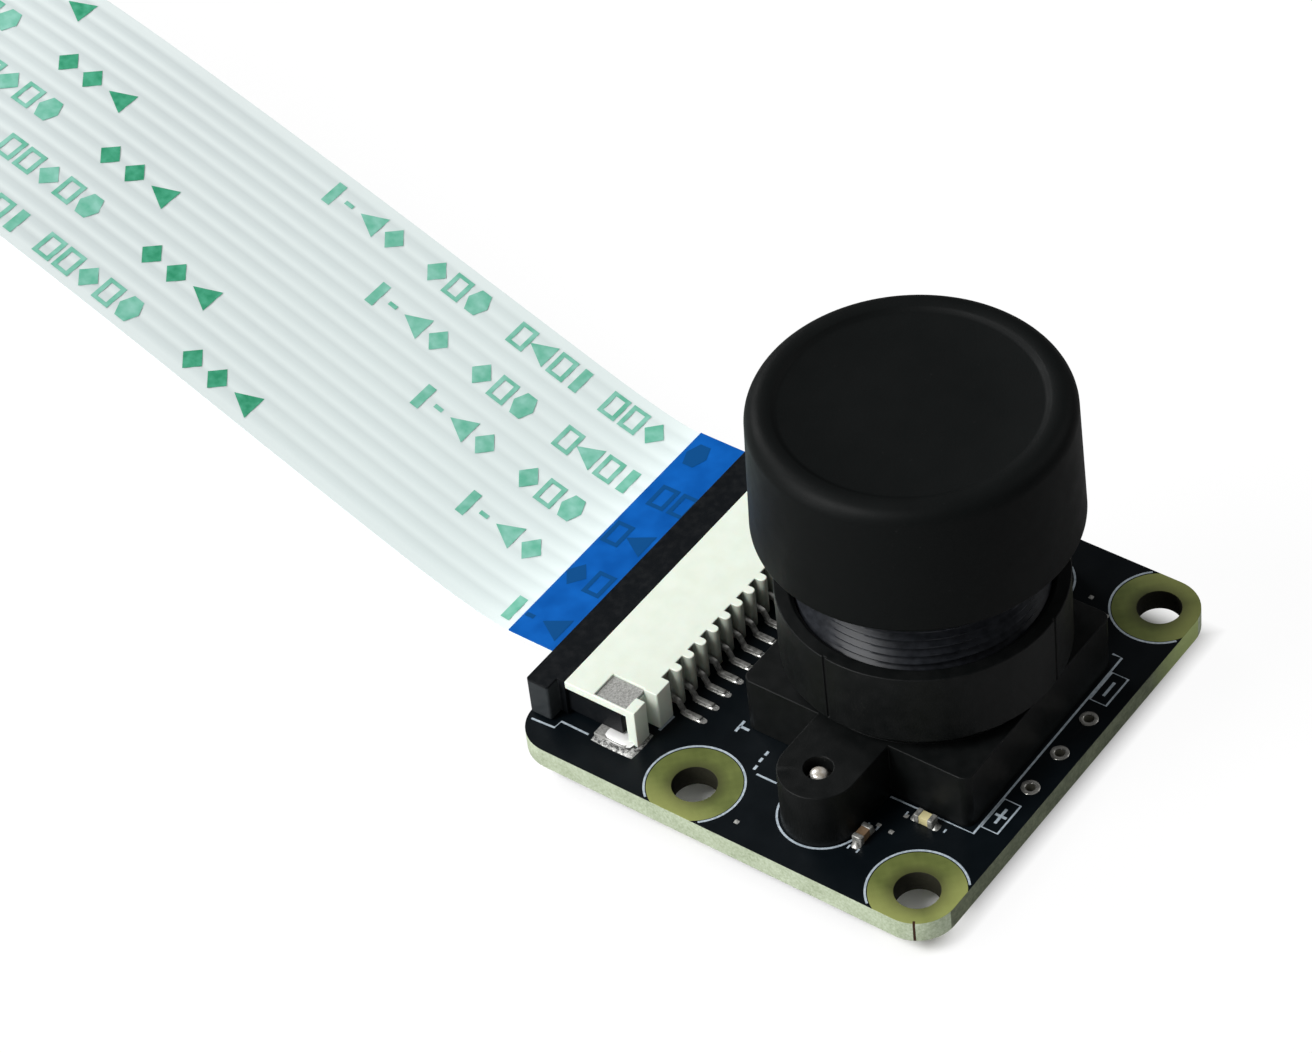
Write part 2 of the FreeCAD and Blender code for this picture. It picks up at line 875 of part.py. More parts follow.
write("corner_capacitors", *[make_chip(x, y, board_t, turn) for x, y, turn in corner_chips])
write("sensor_capacitors", *[make_chip(x, y, board_t, turn) for x, y, turn in sensor_chips])
write("under_capacitors", *[make_chip(x, y, 0, turn, True) for x, y, turn in under_chips])
write("under_resistors", *[make_chip(x, y, 0, turn, True) for x, y, turn in under_resistors])


# Voltage regulators and clock oscillator on the underside
def make_regulator(x, y):
    half_x = regulator_x / 2
    half_y = regulator_y / 2
    top = -regulator_standoff
    body = box(x - half_x, x + half_x, y - half_y, y + half_y, -regulator_h, top)
    body = body.makeChamfer(0.12, [e for e in body.Edges if e.CenterOfMass.z < -regulator_h + 0.01])
    pieces = [body]
    places = [(-0.95, -1), (0, -1), (0.95, -1), (-0.95, 1), (0.95, 1)]
    for dx, side in places:
        x0 = x + dx - lead_w / 2
        y_in = y + side * (half_y - 0.1)
        y_out = y + side * (half_y + lead_len)
        y_knee = y + side * (half_y + 0.25)
        z_in = -regulator_h / 2
        points = [
            (y_in, z_in),
            (y_knee, z_in),
            (y_knee + side * 0.1, 0),
            (y_out, 0),
            (y_out, -lead_t),
            (y_knee + side * 0.25, -lead_t),
            (y_knee + side * 0.12, z_in - lead_t),
            (y_in, z_in - lead_t),
        ]
        pieces.append(side_profile(points, x0, x0 + lead_w))
    return joined(pieces)


def make_oscillator(x, y):
    half_x = oscillator_x / 2
    half_y = oscillator_y / 2
    base_h = oscillator_h - oscillator_lid_t
    base = plate(x - half_x, x + half_x, y - half_y, y + half_y, -base_h, 0, 0.2)
    lid = plate(
        x - half_x + 0.15,
        x + half_x - 0.15,
        y - half_y + 0.15,
        y + half_y - 0.15,
        -oscillator_h,
        -base_h,
        0.2,
    )
    return joined([base, lid])


write("voltage_regulators", *[make_regulator(x, y) for x, y in regulator_places])
write("clock_oscillator", make_oscillator(*oscillator_place))
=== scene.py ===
import bisect
import math

import bmesh
import bpy
from mathutils import Matrix, Vector


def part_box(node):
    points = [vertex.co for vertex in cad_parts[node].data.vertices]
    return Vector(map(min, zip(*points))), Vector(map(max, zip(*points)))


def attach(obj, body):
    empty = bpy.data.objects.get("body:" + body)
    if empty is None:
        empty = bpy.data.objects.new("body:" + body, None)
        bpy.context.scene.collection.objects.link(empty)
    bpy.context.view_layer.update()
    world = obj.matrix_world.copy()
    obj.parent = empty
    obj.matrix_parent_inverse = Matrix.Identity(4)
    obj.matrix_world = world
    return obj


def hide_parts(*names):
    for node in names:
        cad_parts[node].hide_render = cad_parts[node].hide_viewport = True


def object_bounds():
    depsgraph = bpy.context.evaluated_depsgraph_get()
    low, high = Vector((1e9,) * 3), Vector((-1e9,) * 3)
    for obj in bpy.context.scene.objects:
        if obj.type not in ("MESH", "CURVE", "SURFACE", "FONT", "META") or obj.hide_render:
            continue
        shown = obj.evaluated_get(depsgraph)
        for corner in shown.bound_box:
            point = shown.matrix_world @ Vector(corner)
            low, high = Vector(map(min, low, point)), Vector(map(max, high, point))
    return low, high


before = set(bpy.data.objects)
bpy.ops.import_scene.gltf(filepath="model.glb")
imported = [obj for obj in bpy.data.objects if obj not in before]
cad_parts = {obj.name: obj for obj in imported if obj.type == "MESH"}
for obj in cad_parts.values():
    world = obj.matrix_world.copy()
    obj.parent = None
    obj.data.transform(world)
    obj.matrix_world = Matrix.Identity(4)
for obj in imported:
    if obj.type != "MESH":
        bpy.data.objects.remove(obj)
cad_low, cad_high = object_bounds()
MM = 0.001

# Camera
# The photograph looks down on the module from its front left corner, with the board turned
# so that the cable runs away to the upper left. The angles and place come from the board's
# corners, holes, lens rings and contacts.
camera_azimuth = math.radians(-49.16)
camera_elevation = math.radians(44.14)
camera_roll = math.radians(-7.04)
camera_place = Vector((-119.24, -87.33, 157.39)) * MM
focal_length = 124.22

across = Vector((math.cos(camera_azimuth), math.sin(camera_azimuth), 0))
backward = Vector(
    (
        math.sin(camera_azimuth) * math.cos(camera_elevation),
        -math.cos(camera_azimuth) * math.cos(camera_elevation),
        math.sin(camera_elevation),
    )
)
upward = backward.cross(across)
rolled_across = across * math.cos(camera_roll) + upward * math.sin(camera_roll)
rolled_upward = upward * math.cos(camera_roll) - across * math.sin(camera_roll)

lens = bpy.data.cameras.new("camera")
lens.sensor_fit = "HORIZONTAL"
lens.sensor_width = 36
lens.lens = focal_length
lens.clip_start = 10 * MM
lens.clip_end = 10
camera = bpy.data.objects.new("camera", lens)
bpy.context.scene.collection.objects.link(camera)
turn = Matrix((rolled_across, rolled_upward, backward)).transposed()
camera.matrix_world = Matrix.Translation(camera_place) @ turn.to_4x4()
bpy.context.scene.camera = camera
bpy.context.scene.view_settings.view_transform = "Standard"


# Floor, sky and lamps
# A plain white table under plain studio light: a broad soft lamp from the left, a weaker one
# from the right and one from behind that draws the edges of the black parts.
class Wire:
    """An output of a shader node. Sums, products and comparisons of wires add Math nodes."""

    def __init__(self, tree, socket=None):
        self.tree = tree
        self.socket = socket

    def node(self, kind, settings=(), inputs=(), out=0):
        """Adds one node: its settings first, then the values or links of its sockets."""
        made = self.tree.nodes.new("ShaderNode" + kind)
        for name, value in dict(settings).items():
            if name == "stops":
                for place, colour in value:
                    found = [e for e in made.color_ramp.elements if abs(e.position - place) < 1e-6]
                    element = found[0] if found else made.color_ramp.elements.new(place)
                    element.color = (*colour, 1)
            else:
                setattr(made, name, value)
        for name, value in dict(inputs).items():
            if isinstance(value, Wire):
                self.tree.links.new(value.socket, made.inputs[name])
            else:
                made.inputs[name].default_value = value
        return Wire(self.tree, made.outputs[out])

    def maths(self, operation, *values):
        """One Math node on values or wires."""
        return self.node("Math", {"operation": operation}, enumerate(values))

    def __add__(self, other):
        return self.maths("ADD", self, other)

    def __sub__(self, other):
        return self.maths("SUBTRACT", self, other)

    def __rsub__(self, other):
        return self.maths("SUBTRACT", other, self)

    def __mul__(self, other):
        return self.maths("MULTIPLY", self, other)

    def __truediv__(self, other):
        return self.maths("DIVIDE", self, other)

    def __pow__(self, other):
        return self.maths("POWER", self, other)

    def __gt__(self, other):
        return self.maths("GREATER_THAN", self, other)

    def __lt__(self, other):
        return self.maths("LESS_THAN", self, other)

    def __or__(self, other):
        return self.maths("MAXIMUM", self, other)

    def __and__(self, other):
        return self.maths("MINIMUM", self, other)

    def __abs__(self):
        return self.maths("ABSOLUTE", self)

    __radd__ = __add__
    __rmul__ = __mul__

    def ramp(self, low, high):
        """From 0 at low to 1 at high, held flat outside."""
        return self.node(
            "MapRange", {"clamp": True}, {"Value": self, "From Min": low, "From Max": high}
        )

    def mix(self, first, second):
        """First colour where this wire is 0, second where it is 1."""
        first, second = (c if isinstance(c, Wire) else (*c, 1) for c in (first, second))
        return self.node("Mix", {"data_type": "RGBA"}, {0: self, 6: first, 7: second}, 2)

    def parts(self):
        """X, Y and Z of a vector."""
        split = self.node("SeparateXYZ", {}, {0: self}).socket.node
        return [Wire(self.tree, socket) for socket in split.outputs]

    def noise(self, scale, detail=2.0, rough=0.5):
        """Cloudy value from 0 to 1, with scale features to the millimetre."""
        return self.node(
            "TexNoise", {}, {"Vector": self, "Scale": scale, "Detail": detail, "Roughness": rough}
        )


class Finish:
    """A principled material, with the point on the surface in millimetres."""

    def __init__(self, name, colour, roughness, metallic=0.0, **plain):
        self.material = bpy.data.materials.new(name)
        self.material.use_nodes = True
        tree = self.material.node_tree
        self.shader = tree.nodes["Principled BSDF"]
        self.tree = tree
        self.shader.inputs["Base Color"].default_value = (*colour, 1)
        self.shader.inputs["Roughness"].default_value = roughness
        self.shader.inputs["Metallic"].default_value = metallic
        for socket, value in plain.items():
            self.shader.inputs[socket.replace("_", " ")].default_value = value
        metres = Wire(tree).node("TexCoord", out="Object")
        self.point = metres.node("VectorMath", {"operation": "SCALE"}, {0: metres, "Scale": 1 / MM})

    def feed(self, socket, wire):
        """Links a wire to a socket of the shader."""
        self.tree.links.new(wire.socket, self.shader.inputs[socket])

    def bump(self, height, depth):
        """Height from 0 to 1, pressed depth millimetres into the surface."""
        made = height.node("Bump", {}, {"Height": height, "Distance": depth * MM, "Strength": 1})
        self.feed("Normal", made)


table_z = cad_low.z
table_gap = 0.01 * MM
half_floor = 3.0
white = 0.92
mirrored_grey = 0.22
white_share = 0.95
floor_mesh = bpy.data.meshes.new("floor")
signs = ((-1, -1), (1, -1), (1, 1), (-1, 1))
corners = [(sx * half_floor, sy * half_floor, 0) for sx, sy in signs]
floor_mesh.from_pydata(corners, [], [(0, 1, 2, 3)])
floor = bpy.data.objects.new("floor", floor_mesh)
floor.location.z = table_z - table_gap
bpy.context.scene.collection.objects.link(floor)


def ray_kind(tree, kind):
    """1 for rays of a kind, 0 for others."""
    return Wire(tree).node("LightPath", out="Is " + kind + " Ray")


paper = Finish("white_table", (white,) * 3, 0.9)
paper_mirrored = ray_kind(paper.tree, "Glossy")
paper.feed("Base Color", paper_mirrored.mix((white,) * 3, (mirrored_grey,) * 3))
paper_x, paper_y = paper.point.parts()[:2]
under_half_x = 12.0
under_half_y = 11.5
under_y = 3.75
beside_board = (abs(paper_x) - under_half_x) | (abs(paper_y - under_y) - under_half_y)
beside_board = beside_board.ramp(-0.6, 0.9)
direct = ray_kind(paper.tree, "Camera") | ray_kind(paper.tree, "Transmission")
lit = Wire(paper.tree, paper.shader.outputs[0])
glow = lit.node("Emission")
blend = lit.node("MixShader", {}, {0: direct * beside_board * white_share, 1: lit, 2: glow})
paper.tree.links.new(blend.socket, paper.tree.nodes["Material Output"].inputs[0])
floor.data.materials.append(paper.material)

world = bpy.data.worlds.new("studio")
bpy.context.scene.world = world
world.use_nodes = True
sky = world.node_tree.nodes["Background"]
sky.inputs["Color"].default_value = (1, 1, 1, 1)
sky_fill = 0.34
sky_gloss = 0.05
sky_direct = ray_kind(world.node_tree, "Camera") | ray_kind(world.node_tree, "Transmission")
sky_mirrored = ray_kind(world.node_tree, "Glossy")
sky_level = sky_direct * (1 - sky_fill) + sky_mirrored * (sky_gloss - sky_fill) + sky_fill
world.node_tree.links.new(sky_level.socket, sky.inputs["Strength"])


def lamp(name, place, size, power):
    """Square soft lamp that points at the lens holder."""
    light = bpy.data.lights.new(name, "AREA")
    light.shape = "SQUARE"
    light.size = size
    light.energy = power
    made = bpy.data.objects.new(name, light)
    bpy.context.scene.collection.objects.link(made)
    made.location = Vector(place)
    target = Vector((0, 10 * MM, 5 * MM))
    made.rotation_mode = "QUATERNION"
    made.rotation_quaternion = (target - made.location).to_track_quat("-Z", "Y")


lamp("left_lamp", (-0.41, 0.24, 0.5), 0.30, 5.2)
lamp("low_left_lamp", (-0.50, 0.26, 0.13), 0.25, 1.1)
lamp("right_lamp", (0.5, -0.25, 0.45), 0.4, 0.7)
lamp("back_lamp", (0.15, 0.6, 0.4), 0.3, 2.2)


# Flat cable
# Fifteen flat tinned conductors between two white films, 16 mm wide. It comes straight out of
# the connector, rises in one gentle bow and comes down to lie on the table.
def solid_box(node):
    """Low and high corners of a solid in millimetres, to the 0.0001 mm that the frame holds."""
    return [[round(value / MM, 4) for value in corner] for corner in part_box(node)]


cable_z = 2.45
lying_z = -1.05
cable_heights = (
    (10.55, cable_z),
    (17.0, cable_z),
    (20.5, cable_z),
    (30.0, 6.3),
    (42.5, 11.55),
    (55.5, 16.5),
    (69.0, 19.8),
    (82.5, 19.9),
    (96.0, 16.3),
    (109.0, 9.8),
    (121.0, 3.2),
    (132.0, -0.45),
    (143.0, lying_z),
    (153.5, lying_z),
)
route = [Vector((0, y, z)) * MM for y, z in cable_heights]
_, (cable_half, _, _) = solid_box("flat_cable")
film_half = 0.1
backing = 0.1
backing_len = 8.4
conductor_ridge = 0.02
conductor_half = 0.34
conductors_half = 7.5
lean_most = math.radians(-3.4)
lean_grows = (12, 50)
lean_fades = (80, 118)


def spline_line(points):
    """Points along the smooth line that the control points give."""
    curve = bpy.data.curves.new("route", "CURVE")
    curve.dimensions = "3D"
    spline = curve.splines.new("NURBS")
    spline.points.add(len(points) - 1)
    for knot, point in zip(spline.points, points):
        knot.co = (*point, 1)
    spline.order_u = 3
    spline.use_endpoint_u = True
    curve.resolution_u = 16
    holder = bpy.data.objects.new("route", curve)
    line = bpy.data.meshes.new_from_object(holder)
    found = [v.co.copy() for v in line.vertices]
    bpy.data.objects.remove(holder)
    bpy.data.curves.remove(curve)
    bpy.data.meshes.remove(line)
    return found


cable_line = spline_line(route)
cable_run = [0.0]
for before, after in zip(cable_line, cable_line[1:]):
    cable_run.append(cable_run[-1] + (after - before).length / MM)
cable_len = cable_run[-1]


def smooth(value, low, high):
    """Soft step from 0 at low to 1 at high."""
    t = min(1, max(0, (value - low) / (high - low)))
    return t * t * (3 - 2 * t)


def on_cable(run, x, lift):
    """Point at a run along the cable and x across it, lift above its middle; all in mm."""
    i = min(max(bisect.bisect_right(cable_run, run) - 1, 0), len(cable_line) - 2)
    share = (run - cable_run[i]) / (cable_run[i + 1] - cable_run[i])
    middle = cable_line[i].lerp(cable_line[i + 1], share)
    ahead = (cable_line[min(i + 2, len(cable_line) - 1)] - cable_line[i]).normalized()
    behind = (cable_line[i + 1] - cable_line[max(i - 1, 0)]).normalized()
    along = behind.lerp(ahead, share).normalized()
    normal = Vector((0, -along.z, along.y))
    lean = lean_most * smooth(run, *lean_grows) * (1 - smooth(run, *lean_fades))
    sideways = Vector((1, 0, 0)) * math.cos(lean) + normal * math.sin(lean)
    out = normal * math.cos(lean) - Vector((1, 0, 0)) * math.sin(lean)
    return middle + (sideways * x + out * lift) * MM


def film_top(x):
    """Height of the film's upper face, which rides over each conductor."""
    off = abs(x - round(x))
    inside = off < conductor_half and abs(x) < conductors_half
    swell = 0.5 + 0.5 * math.cos(math.pi * off / conductor_half) if inside else 0
    return film_half + conductor_ridge * swell


def make_piece(name, bm, body, finish, replaces=(), sharp=35):
    """Puts a mesh into the scene on its body, shaded smooth except at sharp edges."""
    bmesh.ops.recalc_face_normals(bm, faces=bm.faces)
    mesh = bpy.data.meshes.new(name)
    bm.to_mesh(mesh)
    bm.free()
    mesh.shade_smooth()
    mesh.set_sharp_from_angle(angle=math.radians(sharp))
    mesh.materials.append(finish.material)
    made = bpy.data.objects.new(name, mesh)
    bpy.context.scene.collection.objects.link(made)
    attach(made, body)
    if replaces:
        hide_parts(*replaces)
    return made


def band(bm, run0, run1, half, under, over, columns, step=1.0):
    """Closed strip on the cable between two runs; under and over give its faces' heights."""
    rows = max(2, round((run1 - run0) / step)) + 1
    runs = [run0 + (run1 - run0) * i / (rows - 1) for i in range(rows)]
    xs = [-half + 2 * half * i / (columns - 1) for i in range(columns)]
    tops = [[bm.verts.new(on_cable(run, x, over(x))) for x in xs] for run in runs]
    bottoms = [[bm.verts.new(on_cable(run, x, under(x))) for x in xs] for run in runs]
    for i in range(rows - 1):
        for j in range(columns - 1):
            bm.faces.new((tops[i][j], tops[i][j + 1], tops[i + 1][j + 1], tops[i + 1][j]))
            bm.faces.new((bottoms[i][j], bottoms[i + 1][j], bottoms[i + 1][j + 1], bottoms[i][j + 1]))
        bm.faces.new((tops[i][0], tops[i + 1][0], bottoms[i + 1][0], bottoms[i][0]))
        bm.faces.new((tops[i][-1], bottoms[i][-1], bottoms[i + 1][-1], tops[i + 1][-1]))
    for j in range(columns - 1):
        bm.faces.new((tops[0][j], bottoms[0][j], bottoms[0][j + 1], tops[0][j + 1]))
        bm.faces.new((tops[-1][j], tops[-1][j + 1], bottoms[-1][j + 1], bottoms[-1][j]))


film = Finish("cable_film", (0.60, 0.65, 0.64), 0.45, Specular_IOR_Level=0.3)
film_x, film_y = film.point.parts()[:2]
off_conductor = abs(film_x - film_x.maths("ROUND", film_x))
over_conductor = 1 - off_conductor.ramp(0.16, 0.46)
over_conductor = over_conductor * (abs(film_x) < conductors_half)
film_cloud = film.point.noise(0.35)
film_colour = over_conductor.mix((0.665, 0.725, 0.72), (0.555, 0.615, 0.615))
film_colour = (film_cloud.ramp(0.35, 0.7) * 0.25).mix(film_colour, (0.61, 0.67, 0.66))
near_connector = 1 - film_y.ramp(20, 48)
film.feed("Base Color", (near_connector * 0.45).mix(film_colour, (0.74, 0.84, 0.82)))
film.feed("Roughness", film_cloud.ramp(0.3, 0.8) * 0.12 + 0.34)

bm = bmesh.new()
band(bm, 0, cable_len, cable_half, lambda x: -film_half, film_top, columns=97, step=0.5)
cable = make_piece("cable_ribbon", bm, "board", film, ["flat_cable"], sharp=60)


# Blue backings
# A stiff blue film is bonded on the back of each stripped end. The near one shows between the
# connector and the white film, the far one is at the cable's free end.
blue = Finish("blue_backing", (0.002, 0.08, 0.33), 0.35, Specular_IOR_Level=0.08)
blue_cloud = blue.point.noise(0.8)
blue.feed("Base Color", blue_cloud.ramp(0.3, 0.7).mix((0.001, 0.066, 0.29), (0.002, 0.092, 0.38)))
blue.feed("Roughness", blue_cloud * 0.15 + 0.27)


def make_backing(name, run0, run1, node):
    bm = bmesh.new()
    under, over = film_half, film_half + backing
    band(bm, run0, run1, cable_half, lambda x: under, lambda x: over, columns=33)
    return make_piece(name, bm, "board", blue, [node], sharp=60)


near_backing = make_backing("near_backing", 0, backing_len, "near_stiffener")
far_backing = make_backing("far_backing", cable_len - backing_len, cable_len, "far_stiffener")


# Marks on the cable
# Five rows of green ink marks are printed along the white film, in groups of plain shapes with a
# blank between repeats. Each row is moved on from the one beside it, and the marks nearest the
# connector show faintly through the blue backing.
ink = Finish("green_ink", (0.02, 0.30, 0.15), 0.5)
ink_cloud = ink.point.noise(2.2)
ink.feed("Base Color", ink_cloud.ramp(0.3, 0.7).mix((0.012, 0.25, 0.12), (0.06, 0.37, 0.22)))
pale_ink = Finish("pale_green_ink", (0.16, 0.48, 0.36), 0.5)
pale_cloud = pale_ink.point.noise(1.6)
pale_ink.feed("Base Color", pale_cloud.ramp(0.3, 0.7).mix((0.11, 0.42, 0.29), (0.24, 0.54, 0.44)))
hidden_ink = Finish("ink_under_blue", (0.002, 0.055, 0.19), 0.35, Specular_IOR_Level=0.08)
row_x = [-6.7, -3.3, 0.0, 3.2, 6.5]
row_step = 5.5
repeat_len = 48.0
first_run = 25.5
blue_shows = 5.2
mark_lift = 0.01
hidden_lift = 0.012
mark_half = 0.8
stroke = 0.24
dash_half = 0.13


def triangle(u, size=1.3):
    return [[(u, -mark_half), (u + size, 0), (u, mark_half)]]


def diamond(u, size=1.2):
    return [[(u, 0), (u + size / 2, -mark_half), (u + size, 0), (u + size / 2, mark_half)]]


def block(u, size=0.5, half=mark_half):
    return [[(u, -half), (u + size, -half), (u + size, half), (u, half)]]


def square(u, size=1.05):
    """Outline of a square, in four strokes."""
    sides = block(u, stroke) + block(u + size - stroke, stroke)
    for v in (-mark_half, mark_half - stroke):
        near, far = u + stroke, u + size - stroke
        sides.append([(near, v), (far, v), (far, v + stroke), (near, v + stroke)])
    return sides


def hexagon(u, size=1.2):
    quarter = size / 4
    high = [(u + quarter, mark_half), (u, 0), (u + quarter, -mark_half)]
    return [high + [(u + size - quarter, -mark_half), (u + size, 0), (u + size - quarter, mark_half)]]


def dash(u):
    return block(u, half=dash_half)


groups = [
    [(0.0, triangle), (1.8, diamond), (3.4, diamond)],
    [(7.5, hexagon), (8.9, square), (10.15, diamond), (11.5, square), (12.75, square)],
    [(15.2, block), (16.1, square), (17.4, triangle), (18.7, square)],
    [(21.5, hexagon), (22.9, square), (24.2, diamond)],
    [(27.0, diamond), (28.5, triangle), (30.3, dash), (31.3, block)],
]
dark_reach = 6.0


def lay_mark(bm, run, x, piece, lift):
    """Flat convex piece of ink at a place on the cable."""
    bm.faces.new([bm.verts.new(on_cable(run + u, x + v, lift)) for u, v in piece])


dark_marks = bmesh.new()
pale_marks = bmesh.new()
under_blue = bmesh.new()
for row, x in enumerate(row_x):
    start = first_run + row * row_step - 2 * repeat_len
    while start < cable_len:
        for u0, shape in [item for group in groups for item in group]:
            run = start + u0
            pieces = shape(0)
            reach = max(u for piece in pieces for u, v in piece)
            lift = film_half + conductor_ridge + mark_lift
            if backing_len < run and run + reach < cable_len - backing_len:
                sheet = dark_marks if u0 < dark_reach else pale_marks
            elif blue_shows < run and run + reach < backing_len:
                sheet = under_blue
                lift = film_half + backing + hidden_lift
            else:
                continue
            for piece in pieces:
                lay_mark(sheet, run, x, piece, lift)
        start += repeat_len
cable_marks = make_piece("cable_marks", dark_marks, "board", ink, sharp=60)
cable_marks_pale = make_piece(
    "cable_marks_pale", pale_marks, "board", pale_ink, sharp=60
)
backing_marks = make_piece(
    "backing_marks", under_blue, "board", hidden_ink, sharp=60
)


# Circuit board
# A sheet of woven glass in resin, routed to a square with round corners and four holes. Both
# faces have a black mask, cut back round each hole so that the bare sheet shows.
(_, board_y0, _), (board_half_x, board_y1, board_t) = solid_box("circuit_board")
hole_x = 10.5
hole_y = 6.25
bare_r = 2.3
hole_wall_r = 1.3
face_skin = 0.012
edge_skin = 0.02
wire_pitch = 2.54
wire_row_y = -7.25
wire_row_half = 4.0
wire_r = 0.3


def soften(node, width, segments=2, angle=38):
    """Joins a solid's split corners and rounds its edges; the solid itself stays as it is."""
    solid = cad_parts[node]
    weld = solid.modifiers.new("join", "WELD")
    weld.merge_threshold = 0.0005 * MM
    flats = solid.modifiers.new("flats", "DECIMATE")
    flats.decimate_type = "DISSOLVE"
    flats.angle_limit = math.radians(1.0)
    bevel = solid.modifiers.new("round", "BEVEL")
    bevel.width = width * MM
    bevel.segments = segments
    bevel.limit_method = "ANGLE"
    bevel.angle_limit = math.radians(angle)
    bevel.use_clamp_overlap = True
    normals = solid.modifiers.new("shade", "WEIGHTED_NORMAL")
    normals.weight = 90
    normals.keep_sharp = True
    solid.data.shade_smooth()


def dress(node, finish):
    """Gives a solid its finish."""
    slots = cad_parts[node].data.materials
    slots.clear()
    slots.append(finish.material)


mask = Finish("board_mask", (0.003, 0.005, 0.008), 0.35, Specular_IOR_Level=0.15)
mask_x, mask_y, mask_z = mask.point.parts()
from_hole_x = abs(mask_x) - hole_x
from_hole_y = abs(mask_y) - hole_y
from_hole = (from_hole_x * from_hole_x + from_hole_y * from_hole_y) ** 0.5
on_face = abs(mask_z - board_t / 2) > board_t / 2 - face_skin
masked = on_face * (from_hole > bare_r)
weave = mask_x.maths("SINE", mask_x * 11.0) * mask_y.maths("SINE", mask_y * 11.0)
sheet_cloud = mask.point.noise(0.9)
fibres = mask.point.noise(6.0, 4.0, 0.7)
toward_hole = from_hole.ramp(1.05, 1.7)
ring_cloud = weave.ramp(-1, 1) * 0.10 + sheet_cloud * 0.9
ring_colour = ring_cloud.mix((0.060, 0.076, 0.018), (0.145, 0.172, 0.048))
ring_colour = toward_hole.mix((0.05, 0.055, 0.018), ring_colour)
to_edge = (board_half_x - abs(mask_x)) & (mask_y - board_y0)
by_edge = 1 - to_edge.ramp(0.05, 1.5)
ring_colour = (by_edge * 0.38).mix(ring_colour, (0.38, 0.40, 0.13))
edge_cloud = (fibres * 0.7 + sheet_cloud * 0.3).ramp(0.3, 0.7)
edge_colour = edge_cloud.mix((0.20, 0.24, 0.15), (0.42, 0.47, 0.36))
# The board's front (-Y) edge face is painted darker as painted shade, with a patch of painted light
# towards its +X corner.
shaded_front_edge = mask_y < board_y0 + edge_skin
edge_colour = shaded_front_edge.mix(edge_colour, edge_cloud.mix((0.06, 0.07, 0.045), (0.15, 0.17, 0.11)))
lit_corner = shaded_front_edge * (mask_x > 0) * (1 - from_hole.ramp(2.0, 4.6))
edge_colour = (lit_corner * 0.8).mix(edge_colour, (0.34, 0.41, 0.15))
# Inside the mounting holes the wall is painted near-black as painted shade.
painted_hole_shade = from_hole < hole_wall_r
edge_colour = painted_hole_shade.mix(edge_colour, fibres.mix((0.007, 0.007, 0.004), (0.024, 0.023, 0.014)))
wires_along = mask_x / wire_pitch
near_wire_x = mask_x - wires_along.maths("ROUND", wires_along) * wire_pitch
near_wire_y = mask_y - wire_row_y
painted_wire_hole_shade = (near_wire_x * near_wire_x + near_wire_y * near_wire_y) < wire_r**2
painted_wire_hole_shade = painted_wire_hole_shade * (abs(mask_x) < wire_row_half)
score_dx, score_dy = -0.877, -0.480
score_start = 1.85
score_half = 0.06
score_along = (mask_x + hole_x) * score_dx + (mask_y + hole_y) * score_dy
score_across = abs((mask_x + hole_x) * score_dy - (mask_y + hole_y) * score_dx)
score = (score_along > score_start) * (score_across < score_half) * (mask_x < -hole_x)
# Inside the wire holes the board is painted darker grey, as painted shade.
bare_colour = painted_wire_hole_shade.mix(on_face.mix(edge_colour, ring_colour), (0.13, 0.125, 0.10))
bare_colour = score.mix(bare_colour, (0.035, 0.014, 0.006))
mask_colour = sheet_cloud.mix((0.0012, 0.0024, 0.0034), (0.0028, 0.0048, 0.0066))
mask.feed("Base Color", masked.mix(bare_colour, mask_colour))
mask.feed("Roughness", masked * -0.28 + 0.60 + sheet_cloud * 0.08)
mask_fine = mask.point.noise(9.0)
mask.bump(masked * 0.5 + mask_fine * 0.10 + (1 - masked) * fibres * 0.3, 0.03)
soften("circuit_board", 0.05)
dress("circuit_board", mask)


# Plated metal
# Tin over copper on the wire holes, contacts, tabs and cable ends, with solder where they
# join the board.
tin = Finish("tin_plate", (0.55, 0.54, 0.51), 0.28, 0.75)
tin_cloud = tin.point.noise(3.0, 2.0)
tin.feed("Base Color", tin_cloud.ramp(0.3, 0.75).mix((0.42, 0.41, 0.38), (0.68, 0.67, 0.63)))
tin.feed("Roughness", tin_cloud * 0.16 + 0.16)
tin.bump(tin_cloud, 0.004)
for node in ("wire_eyelets", "near_strips", "far_strips"):
    dress(node, tin)
spring = Finish("contact_plate", (0.30, 0.30, 0.28), 0.38, 0.5)
spring_cloud = spring.point.noise(5.0, 3.0)
spring.feed("Base Color", spring_cloud.ramp(0.3, 0.7).mix((0.13, 0.13, 0.12), (0.42, 0.42, 0.40)))
spring.feed("Roughness", spring_cloud * 0.2 + 0.28)
dress("connector_contacts", spring)
soften("wire_eyelets", 0.02)
soften("connector_contacts", 0.03)

matt_tin = Finish("matt_tin", (0.42, 0.42, 0.40), 0.5, 0.45)
grain = matt_tin.point.noise(9.0, 4.0, 0.75)
matt_tin.feed("Base Color", grain.ramp(0.3, 0.7).mix((0.17, 0.17, 0.16), (0.50, 0.50, 0.48)))
matt_tin.feed("Roughness", grain * 0.3 + 0.35)
matt_tin.bump(grain, 0.02)
dress("hold_down_tabs", matt_tin)
soften("hold_down_tabs", 0.03)


# Solder joints
# A bright fillet runs up the end of each contact tail, along the feet of the tabs and at both
# ends of each chip.
solder = Finish("solder", (0.62, 0.62, 0.60), 0.22, 0.75)
solder_cloud = solder.point.noise(6.0)
solder.feed("Roughness", solder_cloud * 0.2 + 0.14)
board_top = board_t
ways = 15
(_, tail_tip_y, _), _ = solid_box("connector_contacts")
foot_x = 9.87
foot_y = 11.16
foot_top_z = 1.4


